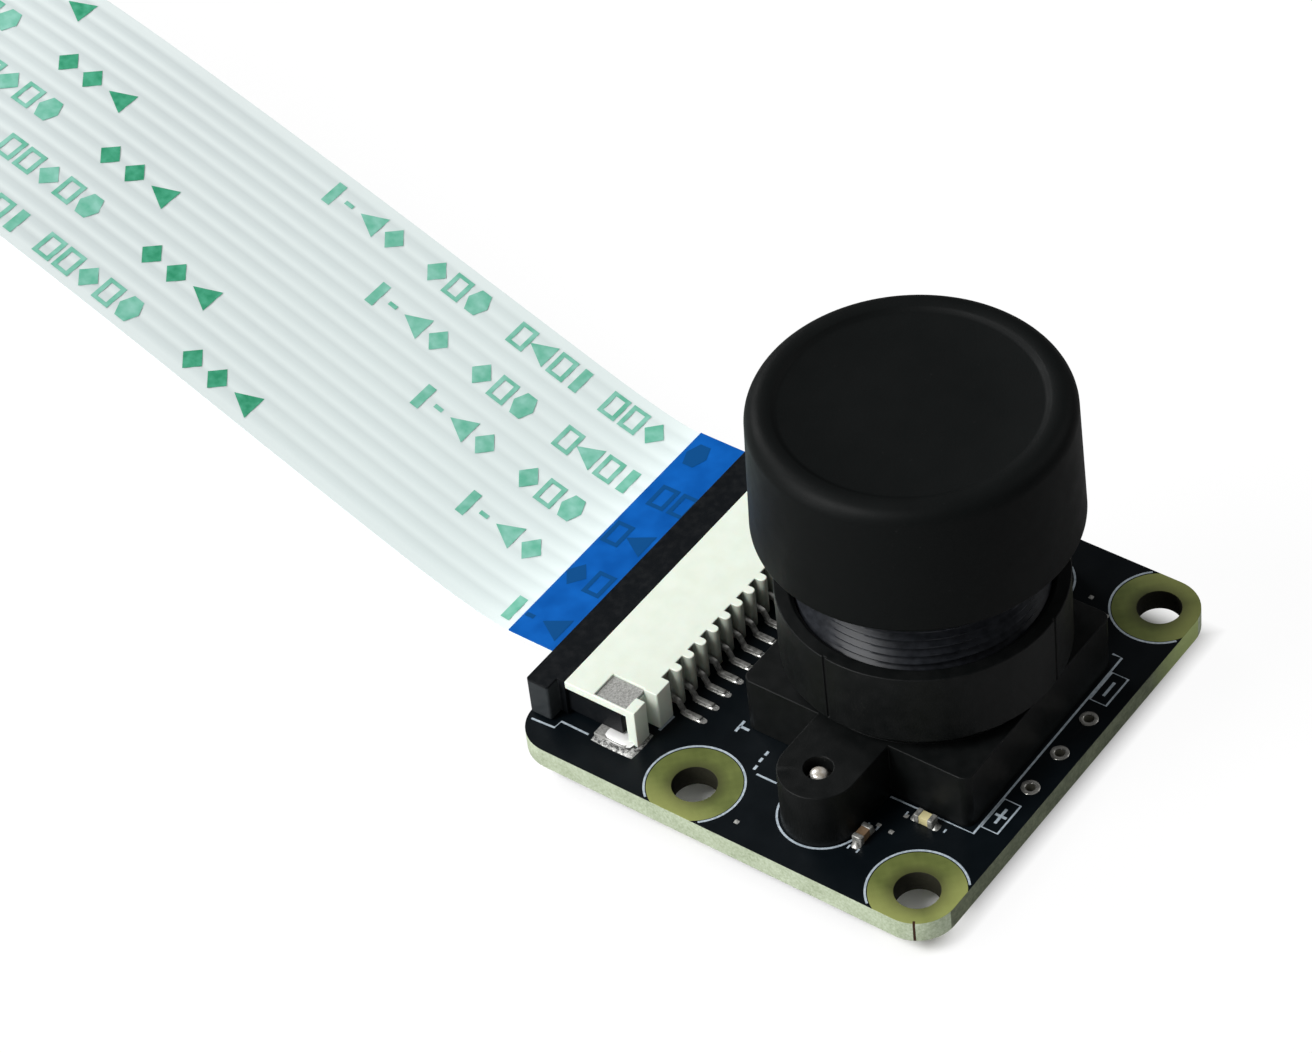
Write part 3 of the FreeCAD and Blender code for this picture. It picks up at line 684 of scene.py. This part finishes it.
def mound(bm, x, y, z, wide, deep, high, rings=5, sides=20, flat=0.28, corner=0.2):
    """Low heap of solder on a flat base with rounded corners, concave towards its foot."""
    rows = []
    for i in range(rings):
        share = i / (rings - 1)
        spread = 1 - share * (1 - flat)
        height = high * share**1.6
        row = []
        for k in range(sides):
            a = 2 * math.pi * k / sides
            squareness = 1 / max(abs(math.cos(a)), abs(math.sin(a))) ** (1 - corner)
            reach_x = wide / 2 * spread * squareness * math.cos(a)
            reach_y = deep / 2 * spread * squareness * math.sin(a)
            row.append(bm.verts.new(Vector((x + reach_x, y + reach_y, z + height)) * MM))
        rows.append(row)
    for low, high_row in zip(rows, rows[1:]):
        for k in range(sides):
            bm.faces.new((low[k], low[(k + 1) % sides], high_row[(k + 1) % sides], high_row[k]))
    bm.faces.new(rows[-1])
    bm.faces.new(list(reversed(rows[0])))


bm = bmesh.new()
for i in range(ways):
    x = i - (ways - 1) / 2
    mound(bm, x, tail_tip_y + 0.12, board_top, wide=0.34, deep=0.55, high=0.14, corner=0.8)
    mound(bm, x, tail_tip_y + 0.45, board_top, wide=0.42, deep=1.5, high=0.025, corner=0.4)
make_piece("solder_joints", bm, "board", solder, sharp=50)
# The solder under the tabs' feet is painted near-white, as a painted highlight.
foot_highlight_solder = Finish("foot_solder_painted_highlight", (0.86, 0.86, 0.85), 0.35, 0.25)
bm = bmesh.new()
for side in (-1, 1):
    x, y, z = side * (foot_x + 0.11), foot_y - 0.22, foot_top_z - 0.05
    mound(bm, x, y, z, wide=1.0, deep=1.75, high=0.09, flat=0.75, corner=0.3)
make_piece("feet_solder_painted_highlight", bm, "board", foot_highlight_solder, sharp=50)
land = Finish("solder_land", (0.35, 0.35, 0.34), 0.5, 0.6)
land_grain = land.point.noise(6.0, 4.0, 0.8)
land.feed("Base Color", land_grain.ramp(0.42, 0.60).mix((0.05, 0.05, 0.05), (0.62, 0.62, 0.60)))
land.bump(land_grain, 0.04)
bm = bmesh.new()
for side in (-1, 1):
    x, y = side * foot_x, foot_y - 0.23
    mound(
        bm, x, y, board_top, wide=1.86, deep=2.50, high=0.05, rings=3, sides=32, flat=0.93, corner=0.12
    )
make_piece("solder_lands", bm, "board", land, sharp=50)


# Silk-screen
# White ink lines that show where the parts go: the holder's outline, rings round the holes
# and lug arcs, with a framed plus and a framed minus beside the wire holes.
silk = Finish("silk_ink", (0.34, 0.40, 0.45), 0.55)
silk_cloud = silk.point.noise(7.0)
silk.feed("Base Color", silk_cloud.ramp(0.25, 0.75).mix((0.22, 0.27, 0.31), (0.44, 0.50, 0.55)))
silk_t = 0.015
corner_r = 2.0
ring_r = 2.4
edge_margin = 0.07
line_w = 0.105
fine_w = 0.10
dash_w = 0.14
bar_w = 0.15
chip_mark_w = 0.09
sign_y = -7.05
lug_arc_x = 8.89
lug_arc_y = 0.05
lug_arc_r = 2.16
holder_outline = [(6.7, -5.97), (6.7, -6.5), (-6.3, -6.55), (-6.38, -2.02)]
beside_latch = [(11.12, 15.39), (11.03, 14.08), (10.54, 14.03), (10.55, 12.41)]
first_contact_bar = [(-8.57, 9.69), (-7.47, 9.63)]
sign_box_half_x = 1.0
sign_box_half_y = 0.45
sign_half = 0.5
upright_from = 0.08
upright_to = 0.3


def inside_board(x, y, margin):
    """True where a printed point is on the board, away from its edge."""
    cx = min(max(x, -board_half_x + corner_r), board_half_x - corner_r)
    cy = min(max(y, board_y0 + corner_r), board_y1 - corner_r)
    return math.hypot(x - cx, y - cy) < corner_r - margin


def printed(bm, points, width, z=board_t, closed=False):
    """Raised ink line through points on the board."""
    count = len(points)
    left, right = [], []
    for i, (x, y) in enumerate(points):
        ax, ay = points[i - 1] if i > 0 or closed else points[i]
        bx, by = points[(i + 1) % count] if i < count - 1 or closed else points[i]
        length = math.hypot(bx - ax, by - ay)
        nx, ny = -(by - ay) / length, (bx - ax) / length
        for side, row in ((1, left), (-1, right)):
            px, py = x + side * nx * width / 2, y + side * ny * width / 2
            row.append(
                (
                    bm.verts.new(Vector((px, py, z)) * MM),
                    bm.verts.new(Vector((px, py, z + silk_t)) * MM),
                )
            )
    last = count if closed else count - 1
    for i in range(last):
        j = (i + 1) % count
        bm.faces.new((left[i][1], right[i][1], right[j][1], left[j][1]))
        bm.faces.new((left[i][0], left[j][0], right[j][0], right[i][0]))
        bm.faces.new((left[i][0], left[i][1], left[j][1], left[j][0]))
        bm.faces.new((right[i][0], right[j][0], right[j][1], right[i][1]))
    if not closed:
        for i in (0, -1):
            bm.faces.new((left[i][0], right[i][0], right[i][1], left[i][1]))


def arc(cx, cy, r, start, end, steps=40):
    return [
        (
            cx + r * math.cos(math.radians(start + (end - start) * i / steps)),
            cy + r * math.sin(math.radians(start + (end - start) * i / steps)),
        )
        for i in range(steps + 1)
    ]


bm = bmesh.new()
for sx in (-1, 1):
    for sy in (-1, 1):
        ring = arc(sx * hole_x, sy * hole_y, ring_r, 0, 360, steps=120)[:-1]
        kept = [inside_board(x, y, edge_margin) for x, y in ring]
        start = next((i for i in range(len(ring)) if kept[i] and not kept[i - 1]), 0)
        stretch = []
        for i in range(len(ring)):
            k = (start + i) % len(ring)
            if kept[k]:
                stretch.append(ring[k])
            elif len(stretch) > 2:
                printed(bm, stretch, line_w)
                stretch = []
        if len(stretch) > 2:
            printed(bm, stretch, line_w)
for sx in (-1, 1):
    lug_arc = arc(lug_arc_x, lug_arc_y, lug_arc_r, -95, 95)
    printed(bm, [(sx * x, y) for x, y in lug_arc], line_w)
printed(bm, holder_outline, line_w)
for sx in (-1, 1):
    printed(bm, [(sx * x, y) for x, y in beside_latch], line_w)
printed(bm, first_contact_bar, bar_w)
printed(bm, [(-6.75, 6.55), (-5.99, 6.55)], dash_w)
printed(bm, [(-6.37, 6.55), (-6.37, 6.02)], dash_w)
for x, y in ((-8.16, 4.40), (-7.63, 4.46), (-7.15, 4.46)):
    printed(bm, [(x - 0.14, y), (x + 0.14, y)], dash_w)
printed(bm, [(-8.47, 4.12), (-8.46, 2.98)], fine_w)
for x, y in ((-9.95, -2.35), (-8.35, -2.35), (-6.85, -5.1), (-6.85, -3.5)):
    printed(bm, [(x - 0.12, y - 0.25), (x + 0.12, y - 0.25)], chip_mark_w)
    printed(bm, [(x - 0.12, y + 0.25), (x + 0.12, y + 0.25)], chip_mark_w)
for middle, upright_stroke in ((-4.75, True), (4.65, False)):
    x0, x1 = middle - sign_box_half_x, middle + sign_box_half_x
    y0, y1 = sign_y - sign_box_half_y, sign_y + sign_box_half_y
    printed(bm, [(x0, y0), (x1, y0), (x1, y1), (x0, y1)], fine_w, closed=True)
    printed(bm, [(middle - sign_half, sign_y), (middle + sign_half, sign_y)], dash_w)
    if upright_stroke:
        printed(bm, [(middle, sign_y + upright_from), (middle, sign_y + upright_to)], dash_w)
        printed(bm, [(middle, sign_y - upright_to), (middle, sign_y - upright_from)], dash_w)
make_piece("silkscreen", bm, "board", silk, sharp=50)


# Through-plated vias
# Small drilled holes near the chips, plated with copper and filled with tin. They join the
# copper of the board's two faces and show as matt dots.
bm = bmesh.new()
via_wide = 0.24
via_high = 0.02
via_places = [(-8.13, -2.54), (-8.18, -3.26), (-6.99, -3.31), (9.4, -3.1), (8.7, -4.4), (-11.4, 3.2)]
for x, y in via_places:
    for foot_z in (board_top, -via_high):
        mound(bm, x, y, foot_z, via_wide, via_wide, via_high, rings=3, sides=16)
make_piece("vias", bm, "board", matt_tin, sharp=50)


# Connector housing
# Ivory moulding with a comb of ribs between the contacts, a pocket at each end for the metal
# tab and a low mouth for the cable.
ivory = Finish("ivory_plastic", (0.62, 0.67, 0.58), 0.42)
ivory_cloud = ivory.point.noise(1.2)
ivory_fine = ivory.point.noise(22.0, 3.0)
ivory_colour = ivory_cloud.ramp(0.3, 0.7).mix((0.60, 0.65, 0.565), (0.635, 0.685, 0.605))
ivory_x, ivory_y, ivory_z = ivory.point.parts()
comb_y1 = 10.62
comb_half = 7.3
comb_top_z = 3.5
# The fronts of the comb's ribs are painted darker, as painted shade between the ribs.
painted_comb_shade = (ivory_y < comb_y1) * (abs(ivory_x) < comb_half) * (ivory_z < comb_top_z)
ivory.feed("Base Color", (painted_comb_shade * 0.7).mix(ivory_colour, (0.19, 0.205, 0.165)))
ivory.feed("Roughness", ivory_fine * 0.12 + 0.36)
ivory.bump(ivory_fine, 0.006)
ivory.shader.inputs["Subsurface Weight"].default_value = 0.15
ivory.shader.inputs["Subsurface Scale"].default_value = 0.4 * MM
dress("connector_housing", ivory)
soften("connector_housing", 0.045)


# Slide latch
# Black moulding that is pushed in from the cable's side to press the cable on the contacts. It
# has an ear at each end to pull it by; the ears' sides are painted lighter grey, partly wear and
# partly painted light from the low left lamp.
latch_black = Finish("latch_plastic", (0.005, 0.0055, 0.006), 0.36, Specular_IOR_Level=0.11)
latch_cloud = latch_black.point.noise(3.0, 3.0)
latch_fine = latch_black.point.noise(18.0, 3.0)
latch_dust = latch_cloud.ramp(0.45, 0.8)
latch_colour = latch_dust.mix((0.0034, 0.0044, 0.0056), (0.008, 0.009, 0.010))
latch_x, latch_y, latch_z = latch_black.point.parts()
ear_x0 = 9.7
ear_y0 = 14.3
ear_top_z = 3.43
# The ears' sides are painted lighter grey: partly wear, partly painted light from the low left lamp.
ear_side = (abs(latch_x) > ear_x0) * (latch_y > ear_y0) * (latch_z < ear_top_z)
worn_and_lit_colour = latch_cloud.mix((0.014, 0.017, 0.019), (0.032, 0.036, 0.038))
latch_black.feed("Base Color", ear_side.mix(latch_colour, worn_and_lit_colour))
latch_black.feed("Roughness", latch_cloud * 0.25 + 0.25)
latch_black.bump(latch_fine, 0.008)
dress("connector_latch", latch_black)
soften("connector_latch", 0.05)


# Lens holder
# Matt black moulding: a square foot on the board, a round barrel for the lens thread and a lug
# on each side for a screw from below.
holder_black = Finish("holder_plastic", (0.004, 0.0045, 0.0045), 0.4, Specular_IOR_Level=0.13)
holder_cloud = holder_black.point.noise(1.3, 3.0)
holder_fine = holder_black.point.noise(20.0, 4.0)
holder_dust = holder_cloud.ramp(0.3, 0.8)
holder_black.feed("Base Color", holder_dust.mix((0.0030, 0.0036, 0.0036), (0.0060, 0.0066, 0.0066)))
holder_black.feed("Roughness", holder_cloud * 0.2 + holder_fine * 0.1 + 0.27)
holder_black.bump(holder_fine, 0.010)
dress("lens_holder", holder_black)
soften("lens_holder", 0.12, 3)


# Holder screws
# Two small steel screws come up through the board from below and hold the holder by its lugs.
# Their domed tips show in the lugs' holes, in a steel painted brighter than the screws' own, as a
# painted highlight.
steel = Finish("screw_steel", (0.56, 0.54, 0.50), 0.3, 0.9)
steel_cloud = steel.point.noise(4.0)
steel.feed("Roughness", steel_cloud * 0.15 + 0.22)
dress("holder_screws", steel)
soften("holder_screws", 0.04)
screw_x = 9.0
_, (_, _, screw_tip_z) = solid_box("holder_screws")
screw_tip_r = 0.42
dome = [(1.0, -0.02), (0.97, 0.04), (0.75, 0.12), (0.42, 0.17), (0.05, 0.19)]


def lathe(bm, profile, sides=128, centre=(0, 0), closed=True, shape=None):
    """Turns (radius, height) points about an upright axis; shape may change a radius."""
    rows = []
    for r, z in profile:
        row = []
        for k in range(sides):
            a = 2 * math.pi * k / sides
            radius = shape(r, z, a) if shape else r
            x, y = centre[0] + radius * math.cos(a), centre[1] + radius * math.sin(a)
            row.append(bm.verts.new(Vector((x, y, z)) * MM))
        rows.append(row)
    pairs = list(zip(rows, rows[1:]))
    if closed:
        pairs.append((rows[-1], rows[0]))
    else:
        bm.faces.new(rows[-1])
        bm.faces.new(list(reversed(rows[0])))
    for low, high in pairs:
        for k in range(sides):
            bm.faces.new((low[k], low[(k + 1) % sides], high[(k + 1) % sides], high[k]))


# The tips' steel is painted much brighter than the screws' steel, as a painted highlight.
tip_highlight_steel = Finish("screw_tip_painted_highlight", (0.86, 0.80, 0.70), 0.25, 0.6)
tip_cloud = tip_highlight_steel.point.noise(4.0)
tip_highlight_colour = tip_cloud.ramp(0.35, 0.65).mix((0.62, 0.55, 0.45), (0.95, 0.92, 0.86))
tip_highlight_steel.feed("Base Color", tip_highlight_colour)
bm = bmesh.new()
for side in (-1, 1):
    tip = [(screw_tip_r * share, screw_tip_z + up) for share, up in dome]
    lathe(bm, tip, sides=24, centre=(side * screw_x, 0), closed=False)
make_piece("screw_tips", bm, "board", tip_highlight_steel, sharp=60)


# Lens barrel
# Turned metal with a black finish: a fine thread that screws into the holder, a wider head and
# stepped bores for the glass. The thread's flanks show bright lines under the cap.
black_metal = Finish("lens_metal", (0.012, 0.013, 0.015), 0.3, 0.06, Specular_IOR_Level=0.12)
metal_cloud = black_metal.point.noise(2.5, 3.0)
metal_colour = metal_cloud.ramp(0.3, 0.8).mix((0.007, 0.008, 0.010), (0.018, 0.020, 0.024))
black_metal.feed("Base Color", metal_colour)
black_metal.feed("Roughness", metal_cloud * 0.1 + 0.26)
thread_r = 6.0
thread_depth = 0.27
thread_pitch = 0.5
thread_start = 0.3
thread_end = 0.25
thread_rows = 8
flank_slope = 1.15
(_, _, lens_z0), (head_r, _, head_z1) = solid_box("lens_barrel")
head_len = 5.9
neck_z1 = head_z1 - head_len
head_chamfer = 0.4
lip_r = 3.15
lip_t = 0.6
rear_seat_z = lens_z0 + lip_t
rear_bore_r = 3.6
middle_bore_r = 4.6
(_, _, middle_seat_z), _ = solid_box("second_glass")
front_bore_r = 5.7
(_, _, front_seat_z), _ = solid_box("front_glass")


def thread_form(r, z, angle):
    """Radius of the thread at a height and angle, faded out at both ends."""
    if abs(r - thread_r) > 1e-6:
        return r
    turns = z / thread_pitch - angle / (2 * math.pi)
    flank = abs((turns % 1) * 2 - 1)
    depth = thread_depth * min(1, flank * flank_slope)
    rise = min(1, max(0, (z - lens_z0 - thread_start) / thread_start))
    fall = min(1, max(0, (neck_z1 - thread_end - z) / thread_end))
    return r - depth * (rise * fall)


thread_z0 = lens_z0 + thread_start
thread_len = neck_z1 - lens_z0 - thread_start
steps = round(thread_len / thread_pitch * thread_rows)
threaded = [(thread_r, thread_z0 + thread_len * i / steps) for i in range(steps + 1)]
barrel_profile = (
    [(lip_r, lens_z0), (front_bore_r, lens_z0)]
    + threaded
    + [
        (head_r - head_chamfer, neck_z1),
        (head_r, neck_z1 + head_chamfer),
        (head_r, head_z1 - head_chamfer),
        (head_r - head_chamfer, head_z1),
        (front_bore_r, head_z1),
        (front_bore_r, front_seat_z),
        (middle_bore_r, front_seat_z),
        (middle_bore_r, middle_seat_z),
        (rear_bore_r, middle_seat_z),
        (rear_bore_r, rear_seat_z),
        (lip_r, rear_seat_z),
    ]
)
bm = bmesh.new()
lathe(bm, barrel_profile, sides=120, shape=thread_form)
make_piece("threaded_barrel", bm, "lens", black_metal, ["lens_barrel"], sharp=32)
for node in ("rear_spacer", "aperture_stop", "middle_spacer", "front_spacer", "retaining_ring"):
    dress(node, black_metal)


# Lens glass
# Four ground and polished elements of clear glass, with a coating that throws back a little
# green. They drop into the barrel's bores, with a spacer or the stop between each pair.
coated = Finish("lens_glass", (0.93, 0.96, 0.97), 0.03)
coated.shader.inputs["Transmission Weight"].default_value = 1.0
coated.shader.inputs["IOR"].default_value = 1.6
coated.shader.inputs["Coat Weight"].default_value = 0.6
coated.shader.inputs["Coat Tint"].default_value = (0.55, 0.8, 0.75, 1)
glass_fit = 0.02
glass_rim = 0.5
dome_steps = 12


def sag(radius, height, share):
    """Height of a round face at a share of its radius, counted down from its middle."""
    ball = (radius**2 + height**2) / (2 * abs(height))
    return math.copysign(ball - math.sqrt(ball**2 - (radius * share) ** 2), height)


def ground_lens(name, node, bore_r, z0, thick, bulge_down, bulge_up):
    """Element with smooth faces and flat seating rims; a bulge is positive where it is convex."""
    r = bore_r - glass_fit
    clear = r - glass_rim
    z1 = z0 + thick
    shares = [0.002] + [i / dome_steps for i in range(1, dome_steps + 1)]
    lower = [(clear * k, z0 - bulge_down + sag(clear, bulge_down, k)) for k in shares]
    upper = [(clear * k, z1 + bulge_up - sag(clear, bulge_up, k)) for k in shares]
    bm = bmesh.new()
    lathe(bm, lower + [(r, z0), (r, z1)] + upper[::-1], sides=96, closed=False)
    make_piece(name, bm, "lens_stack", coated, [node])


(_, _, third_glass_z), _ = solid_box("third_glass")
for name, node, bore_r, z0, thick, bulge_down, bulge_up in (
    ("rear_lens", "rear_glass", rear_bore_r, rear_seat_z, 1.1, 0.35, 0.45),
    ("third_lens", "third_glass", rear_bore_r, third_glass_z, 1.4, -0.3, 0.5),
    ("second_lens", "second_glass", middle_bore_r, middle_seat_z, 1.0, -0.7, 0.5),
    ("front_lens", "front_glass", front_bore_r, front_seat_z, 1.5, -1.2, 0.9),
):
    ground_lens(name, node, bore_r, z0, thick, bulge_down, bulge_up)


# Lens cap
# Soft matt plastic, turned form: a slightly tapered skirt, a rounded top edge and a shallow
# round recess in its face.
cap_black = Finish("cap_plastic", (0.0036, 0.0042, 0.0042), 0.5, Specular_IOR_Level=0.08)
cap_cloud = cap_black.point.noise(0.7, 4.0)
cap_fine = cap_black.point.noise(16.0, 4.0)
speck = cap_black.point.noise(6.0, 1.0).ramp(0.79, 0.82)
cap_black.feed("Base Color", (speck * 0.4).mix((0.0030, 0.0037, 0.0037), (0.025, 0.025, 0.025)))
cap_black.feed("Roughness", cap_cloud * 0.2 + cap_fine * 0.1 + 0.36)
cap_black.bump(cap_fine * 0.6 + cap_cloud * 0.4, 0.012)

(_, _, cap_foot_z), (cap_foot_r, _, cap_top_z) = solid_box("lens_cap")
cap_roof = 0.9
cap_ceiling_z = cap_top_z - cap_roof
cap_inner = 6.8
foot_round = 0.3
cap_top_r = 7.5
top_round = 0.8
bore_chamfer = 0.15
near_axis = 0.02
recess = [(6.32, 0), (6.22, 0.05), (6.08, 0.17), (5.95, 0.2), (3.0, 0.21), (near_axis, 0.2)]
cap_profile = (
    [(cap_inner, cap_foot_z + bore_chamfer), (cap_inner + bore_chamfer, cap_foot_z)]
    + arc(cap_foot_r - foot_round, cap_foot_z + foot_round, foot_round, -90, 0, steps=8)
    + arc(cap_top_r - top_round, cap_top_z - top_round, top_round, 0, 90, steps=12)
    + [(r, cap_top_z - down) for r, down in recess]
    + [(near_axis, cap_ceiling_z), (cap_inner, cap_ceiling_z)]
)
bm = bmesh.new()
lathe(bm, cap_profile, sides=160)
make_piece("push_on_cap", bm, "cap", cap_black, ["lens_cap"], sharp=40)


# Image sensor and filter
# A ceramic tray on the board holds the silicon die under a cover glass, and a tinted glass
# plate that stops infra-red light sits above it in the holder.
ceramic = Finish("sensor_ceramic", (0.52, 0.47, 0.38), 0.6)
ceramic_cloud = ceramic.point.noise(4.0)
ceramic.feed("Base Color", ceramic_cloud.mix((0.46, 0.41, 0.33), (0.58, 0.53, 0.44)))
dress("sensor_tray", ceramic)
soften("sensor_tray", 0.05)

die = Finish("silicon", (0.13, 0.10, 0.17), 0.15, 0.4)
die_x, die_y = die.point.parts()[:2]
pixels_half_x = 2.2
pixels_half_y = 1.7
pixels = (abs(die_x) < pixels_half_x) * (abs(die_y) < pixels_half_y)
die.feed("Base Color", pixels.mix((0.30, 0.28, 0.24), (0.10, 0.06, 0.16)))
dress("sensor_die", die)

clear = Finish("cover_glass", (0.95, 0.97, 0.97), 0.02)
clear.shader.inputs["Transmission Weight"].default_value = 1.0
dress("sensor_glass", clear)

tinted = Finish("filter_glass", (0.55, 0.88, 0.86), 0.02)
tinted.shader.inputs["Transmission Weight"].default_value = 1.0
dress("ir_filter", tinted)


# Chip capacitors and resistors
# Fired ceramic blocks, tan or cream, and resistors with a black film. Each is 1 mm long, has
# tinned ends and is soldered to one of the board's faces.
tan = Finish("tan_ceramic", (0.16, 0.10, 0.055), 0.4)
tan_cloud = tan.point.noise(6.0)
tan_y, tan_z = tan.point.parts()[1:]
cream = (tan_y < -3.6) * (tan_z > 1)
tan_colour = tan_cloud.mix((0.12, 0.075, 0.040), (0.22, 0.145, 0.085))
tan.feed("Base Color", cream.mix(tan_colour, (0.50, 0.45, 0.24)))
black_film = Finish("resistor_film", (0.02, 0.02, 0.02), 0.35)
black_film.bump(black_film.point.noise(15.0), 0.01)
chip_half = 0.5
chip_half_wide = 0.25
chip_end = 0.26
chip_top = 0.5
chip_gap = 0.012
end_skin = 0.012
end_round = 0.035
fillet_out = 0.52
corner_chips = [(-9.15, -2.35, False), (-6.85, -4.3, True)]
sensor_chips = [(-4.75, -2.0, True), (-4.75, 1.6, True), (4.75, -1.6, True), (4.75, 2.0, True)]
under_chips = [(x, y, False) for x in (-6.0, 5.6) for y in (3.2, 4.4)] + [(0.0, -5.2, True)]
under_films = [(-3.6, -5.0, True), (-2.4, -5.0, True), (2.4, -5.0, True), (3.6, -5.0, True)]
for node, finish in (
    ("corner_capacitors", tan),
    ("sensor_capacitors", tan),
    ("under_capacitors", tan),
    ("under_resistors", black_film),
):
    dress(node, finish)
    soften(node, 0.03)


def end_cap(bm, x, y, z0, z1, along_y, side):
    """Tinned end that wraps a chip, a hair proud of it on every side."""
    reach = chip_half + end_skin
    inner = chip_half - chip_end
    half = chip_half_wide + end_skin
    if along_y:
        x0, x1 = x - half, x + half
        y0, y1 = sorted((y + side * inner, y + side * reach))
    else:
        y0, y1 = y - half, y + half
        x0, x1 = sorted((x + side * inner, x + side * reach))
    sizes = Matrix.Diagonal(((x1 - x0) * MM, (y1 - y0) * MM, (z1 - z0 + 2 * end_skin) * MM, 1))
    place = Matrix.Translation(Vector(((x0 + x1) / 2, (y0 + y1) / 2, (z0 + z1) / 2)) * MM)
    made = bmesh.ops.create_cube(bm, size=1, matrix=place @ sizes)
    edges = list(dict.fromkeys(e for v in made["verts"] for e in v.link_edges))
    bmesh.ops.bevel(bm, geom=edges, offset=end_round * MM, segments=2, affect="EDGES", profile=0.5)


bm = bmesh.new()
for x, y, along_y in corner_chips + sensor_chips:
    for side in (-1, 1):
        end_cap(bm, x, y, board_top + chip_gap, board_top + chip_top, along_y, side)
        out = side * fillet_out
        x1, y1 = (x, y + out) if along_y else (x + out, y)
        mound(bm, x1, y1, board_top, wide=0.5, deep=0.5, high=0.2, rings=4, sides=16, corner=0.6)
for x, y, along_y in under_chips + under_films:
    for side in (-1, 1):
        end_cap(bm, x, y, -chip_top, -chip_gap, along_y, side)
make_piece("chip_ends", bm, "board", spring, sharp=50)


# Regulators and oscillator
# Moulded black packages under the board, the regulators with bent tinned leads and the
# oscillator with a metal lid.
moulded = Finish("chip_plastic", (0.02, 0.02, 0.02), 0.5)
moulded.bump(moulded.point.noise(18.0, 3.0), 0.01)
lead_y = moulded.point.parts()[1]
(_, leads_y0, _), (_, leads_y1, _) = solid_box("voltage_regulators")
package_y = (leads_y0 + leads_y1) / 2
package_half = 0.82
is_lead = abs(lead_y - package_y) > package_half
moulded.feed("Base Color", is_lead.mix((0.02, 0.02, 0.021), (0.66, 0.66, 0.64)))
moulded.feed("Metallic", is_lead)
moulded.feed("Roughness", is_lead * -0.25 + 0.5)
dress("voltage_regulators", moulded)
soften("voltage_regulators", 0.04)

lid = Finish("oscillator_lid", (0.5, 0.47, 0.38), 0.3, 0.9)
lid_z = lid.point.parts()[2]
lid_edge_z = -0.69
on_lid = lid_z < lid_edge_z
lid.feed("Base Color", on_lid.mix((0.04, 0.038, 0.035), (0.62, 0.56, 0.42)))
lid.feed("Metallic", on_lid)
dress("clock_oscillator", lid)
soften("clock_oscillator", 0.04)
